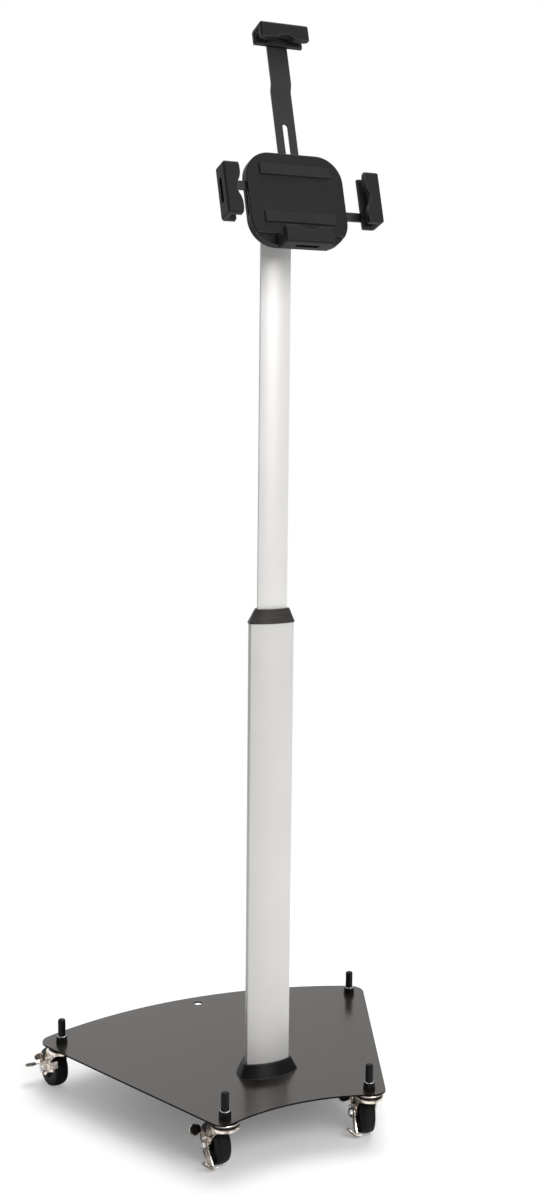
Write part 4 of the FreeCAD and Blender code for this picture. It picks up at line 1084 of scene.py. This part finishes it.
class STAND_OT_lock(bpy.types.Operator):
    """Make the height lock's knob and its insert"""

    bl_idname = "stand.lock"
    bl_label = "Height lock"

    def execute(self, context):
        for node, body in (("lock_knob", "height_lock"), ("lock_insert", "base")):
            dress(node, body, width=0.3 * MM, name="height_" + node)
        return {"FINISHED"}


class STAND_OT_head(bpy.types.Operator):
    """Make the mast cap, the tilt head and the tilt knob"""

    bl_idname = "stand.head"
    bl_label = "Tilt head"

    def execute(self, context):
        for node, body in (("mast_cap", "mast_upper"), ("tilt_head", "tilt_head"),
                           ("tilt_knob", "tilt_lock"), ("tilt_pin", "mast_upper"),
                           ("pivot_screw", "holder")):
            dress(node, body, width=context.scene.stand_sizes.edge, angle=35)
        return {"FINISHED"}


# Holder


class STAND_OT_housing(bpy.types.Operator):
    """Make the holder's housing, its cover and the rubber pads"""

    bl_idname = "stand.housing"
    bl_label = "Housing"

    def execute(self, context):
        for node in ("housing_shell", "housing_cover", "rubber_pads"):
            dress(node, "holder", width=0.3 * MM)
        return {"FINISHED"}


class STAND_OT_arms(bpy.types.Operator):
    """Make the arms that slide in the housing and the clamp knob"""

    bl_idname = "stand.arms"
    bl_label = "Arms"

    def execute(self, context):
        for node, body in (("arm_left", "arm_left"), ("arm_right", "arm_right"),
                           ("arm_top", "arm_top"), ("clamp_knob", "clamp")):
            dress(node, body, width=0.25 * MM)
        return {"FINISHED"}


class STAND_OT_jaws(bpy.types.Operator):
    """Make the four jaws and their foam liners"""

    bl_idname = "stand.jaws"
    bl_label = "Jaws"

    def execute(self, context):
        for side in SIDES:
            body = "holder" if side == "bottom" else "arm_" + side
            dress("jaw_" + side, body, width=context.scene.stand_sizes.edge, segments=3, angle=30)
            dress("liner_" + side, body, width=0.4 * MM, angle=30)
        return {"FINISHED"}


class STAND_OT_inside(bpy.types.Operator):
    """Give every solid its finish, for those that still show"""

    bl_idname = "stand.inside"
    bl_label = "Inner parts"

    def execute(self, context):
        for name, node in NODES.items():
            slot = NODE_SLOT[name]
            dye(node, SLOT_FINISH[slot])
        return {"FINISHED"}


# Stage

# The lamps: where they are and their size, in metres, and their power, in watts; and where they aim

LAMPS = {
    "top_light": ((0.8, 0.9, 3.4), 2.6, 101),
    "front_light": ((0.3, -1.6, 1.5), 1.0, 19),
}
AIM = (0, -0.05, 0.6)

# The photograph's camera: its place, in metres, its right and up directions, and the lens and the
# height of its frame, in millimetres

CAMERA_PLACE = (-0.71275, -1.63176, 0.86297)
CAMERA_RIGHT = (0.9103, -0.4138, 0.0102)
CAMERA_UP = (0.0441, 0.1214, 0.9917)
CAMERA_LENS = 44.71
CAMERA_HEIGHT = 36

# The floor's width, in metres

FLOOR = 24


class STAND_OT_stage(bpy.types.Operator):
    """Make the floor, the backdrop, the lights and the camera"""

    bl_idname = "stand.stage"
    bl_label = "Stage"

    def execute(self, context):
        rest()
        bpy.ops.mesh.primitive_plane_add(size=FLOOR, location=(0, 0, 0))
        floor = bpy.context.object
        floor.name = "floor"
        dye(floor, self.pale_floor)
        self.sky(context)
        for name, settings in LAMPS.items():
            self.lamp(context, name, *settings)
        self.camera(context)
        context.scene.view_settings.view_transform = "Standard"
        return {"FINISHED"}

    @staticmethod
    def pale_floor(colours):
        """The floor: its colour and shadows, with a painted glow that only the camera sees, weak near the stand so
        that its shadow stays dark, and whitest far away.
        """
        pale = Finish("pale_floor", colours.floor, Roughness=0.9)
        camera = pale.node("ShaderNodeLightPath", output="Is Camera Ray")
        away = pale.node("ShaderNodeVectorMath", {"operation": "LENGTH"}, {0: pale.place()},
                         output="Value")
        # painted glow, growing with the distance from the stand
        share = 0.15 + away.eased(0.05, 0.26) * 0.19 + away.eased(0.4, 2.0) * 0.66
        white = pale.node("ShaderNodeEmission")
        pale.show("ShaderNodeOutputMaterial", pale.blend(camera * share, pale.surface, white))
        return pale

    @staticmethod
    def sky(context):
        """A pale world: dim on the left, white where seen and bright behind where mirrored."""
        world = bpy.data.worlds.new("pale_sky")
        context.scene.world = world
        sky = Nodes(world)

        def glow(strength):
            """White light of a strength."""
            return sky.node("ShaderNodeBackground", None, {
                "Color": (1, 1, 1, 1), "Strength": strength})

        direction = sky.node("ShaderNodeTexCoord", output="Generated")
        behind = sky.along(direction, (-0.5, 0.9, 0)).eased(-0.2, 1.0)
        left = sky.along(direction, (-1, 0.1, 0)).eased(0.1, 0.8)
        level = sky.part("Z", direction).eased(0.0, 0.5)
        camera = sky.node("ShaderNodeLightPath", output="Is Camera Ray")
        mirrored = sky.node("ShaderNodeLightPath", output="Is Glossy Ray")
        light = sky.blend(left, glow(0.26 + level * 0.24), glow(0.08))
        share = sky.reckon("MAXIMUM", camera, mirrored * behind)
        sky.show("ShaderNodeOutputWorld", sky.blend(share, light, glow(1.0)))

    @staticmethod
    def lamp(context, name, place, size, power):
        """A soft square light that faces the stand."""
        light = bpy.data.lights.new(name, "AREA")
        light.size = size
        light.energy = power
        lamp = bpy.data.objects.new(name, light)
        context.scene.collection.objects.link(lamp)
        lamp.location = place
        lamp.rotation_euler = (Vector(AIM) - Vector(place)).to_track_quat("-Z", "Y").to_euler()

    @staticmethod
    def camera(context):
        """The photograph's camera."""
        camera = bpy.data.objects.new("camera", bpy.data.cameras.new("camera"))
        context.scene.collection.objects.link(camera)
        right = Vector(CAMERA_RIGHT).normalized()
        back = right.cross(Vector(CAMERA_UP)).normalized()
        turn = Matrix((right, back.cross(right), back)).transposed().to_4x4()
        camera.matrix_world = Matrix.Translation(CAMERA_PLACE) @ turn
        camera.data.sensor_fit = "VERTICAL"
        camera.data.sensor_height = CAMERA_HEIGHT
        camera.data.lens = CAMERA_LENS
        camera.data.clip_start = 0.01
        context.scene.camera = camera


class STAND_PT_panel(bpy.types.Panel):
    """The stand's pieces, in the 3D view's sidebar"""

    bl_idname = "STAND_PT_panel"
    bl_label = "Rolling Tablet Stand"
    bl_space_type = "VIEW_3D"
    bl_region_type = "UI"
    bl_category = "Stand"

    def draw(self, context):
        layout = self.layout
        for group in (context.scene.stand_sizes, context.scene.stand_colours):
            box = layout.box()
            for name in group.__annotations__:
                box.prop(group, name)
        for operator in OPERATORS:
            layout.operator(operator.bl_idname)


OPERATORS = (STAND_OT_plate, STAND_OT_stems, STAND_OT_casters, STAND_OT_tubes, STAND_OT_collars,
             STAND_OT_lock, STAND_OT_head, STAND_OT_housing, STAND_OT_arms, STAND_OT_jaws,
             STAND_OT_inside, STAND_OT_stage)
CLASSES = (StandSizes, StandColours, *OPERATORS, STAND_PT_panel)


def register():
    for kind in CLASSES:
        bpy.utils.register_class(kind)
    bpy.types.Scene.stand_sizes = PointerProperty(type=StandSizes)
    bpy.types.Scene.stand_colours = PointerProperty(type=StandColours)


def unregister():
    del bpy.types.Scene.stand_sizes
    del bpy.types.Scene.stand_colours
    for kind in reversed(CLASSES):
        bpy.utils.unregister_class(kind)


def main():
    """Make every piece and the stage."""
    register()
    bpy.ops.stand.plate()
    bpy.ops.stand.stems()
    bpy.ops.stand.casters()
    bpy.ops.stand.tubes()
    bpy.ops.stand.collars()
    bpy.ops.stand.lock()
    bpy.ops.stand.head()
    bpy.ops.stand.housing()
    bpy.ops.stand.arms()
    bpy.ops.stand.jaws()
    bpy.ops.stand.inside()
    bpy.ops.stand.stage()


if __name__ == "__main__":
    main()
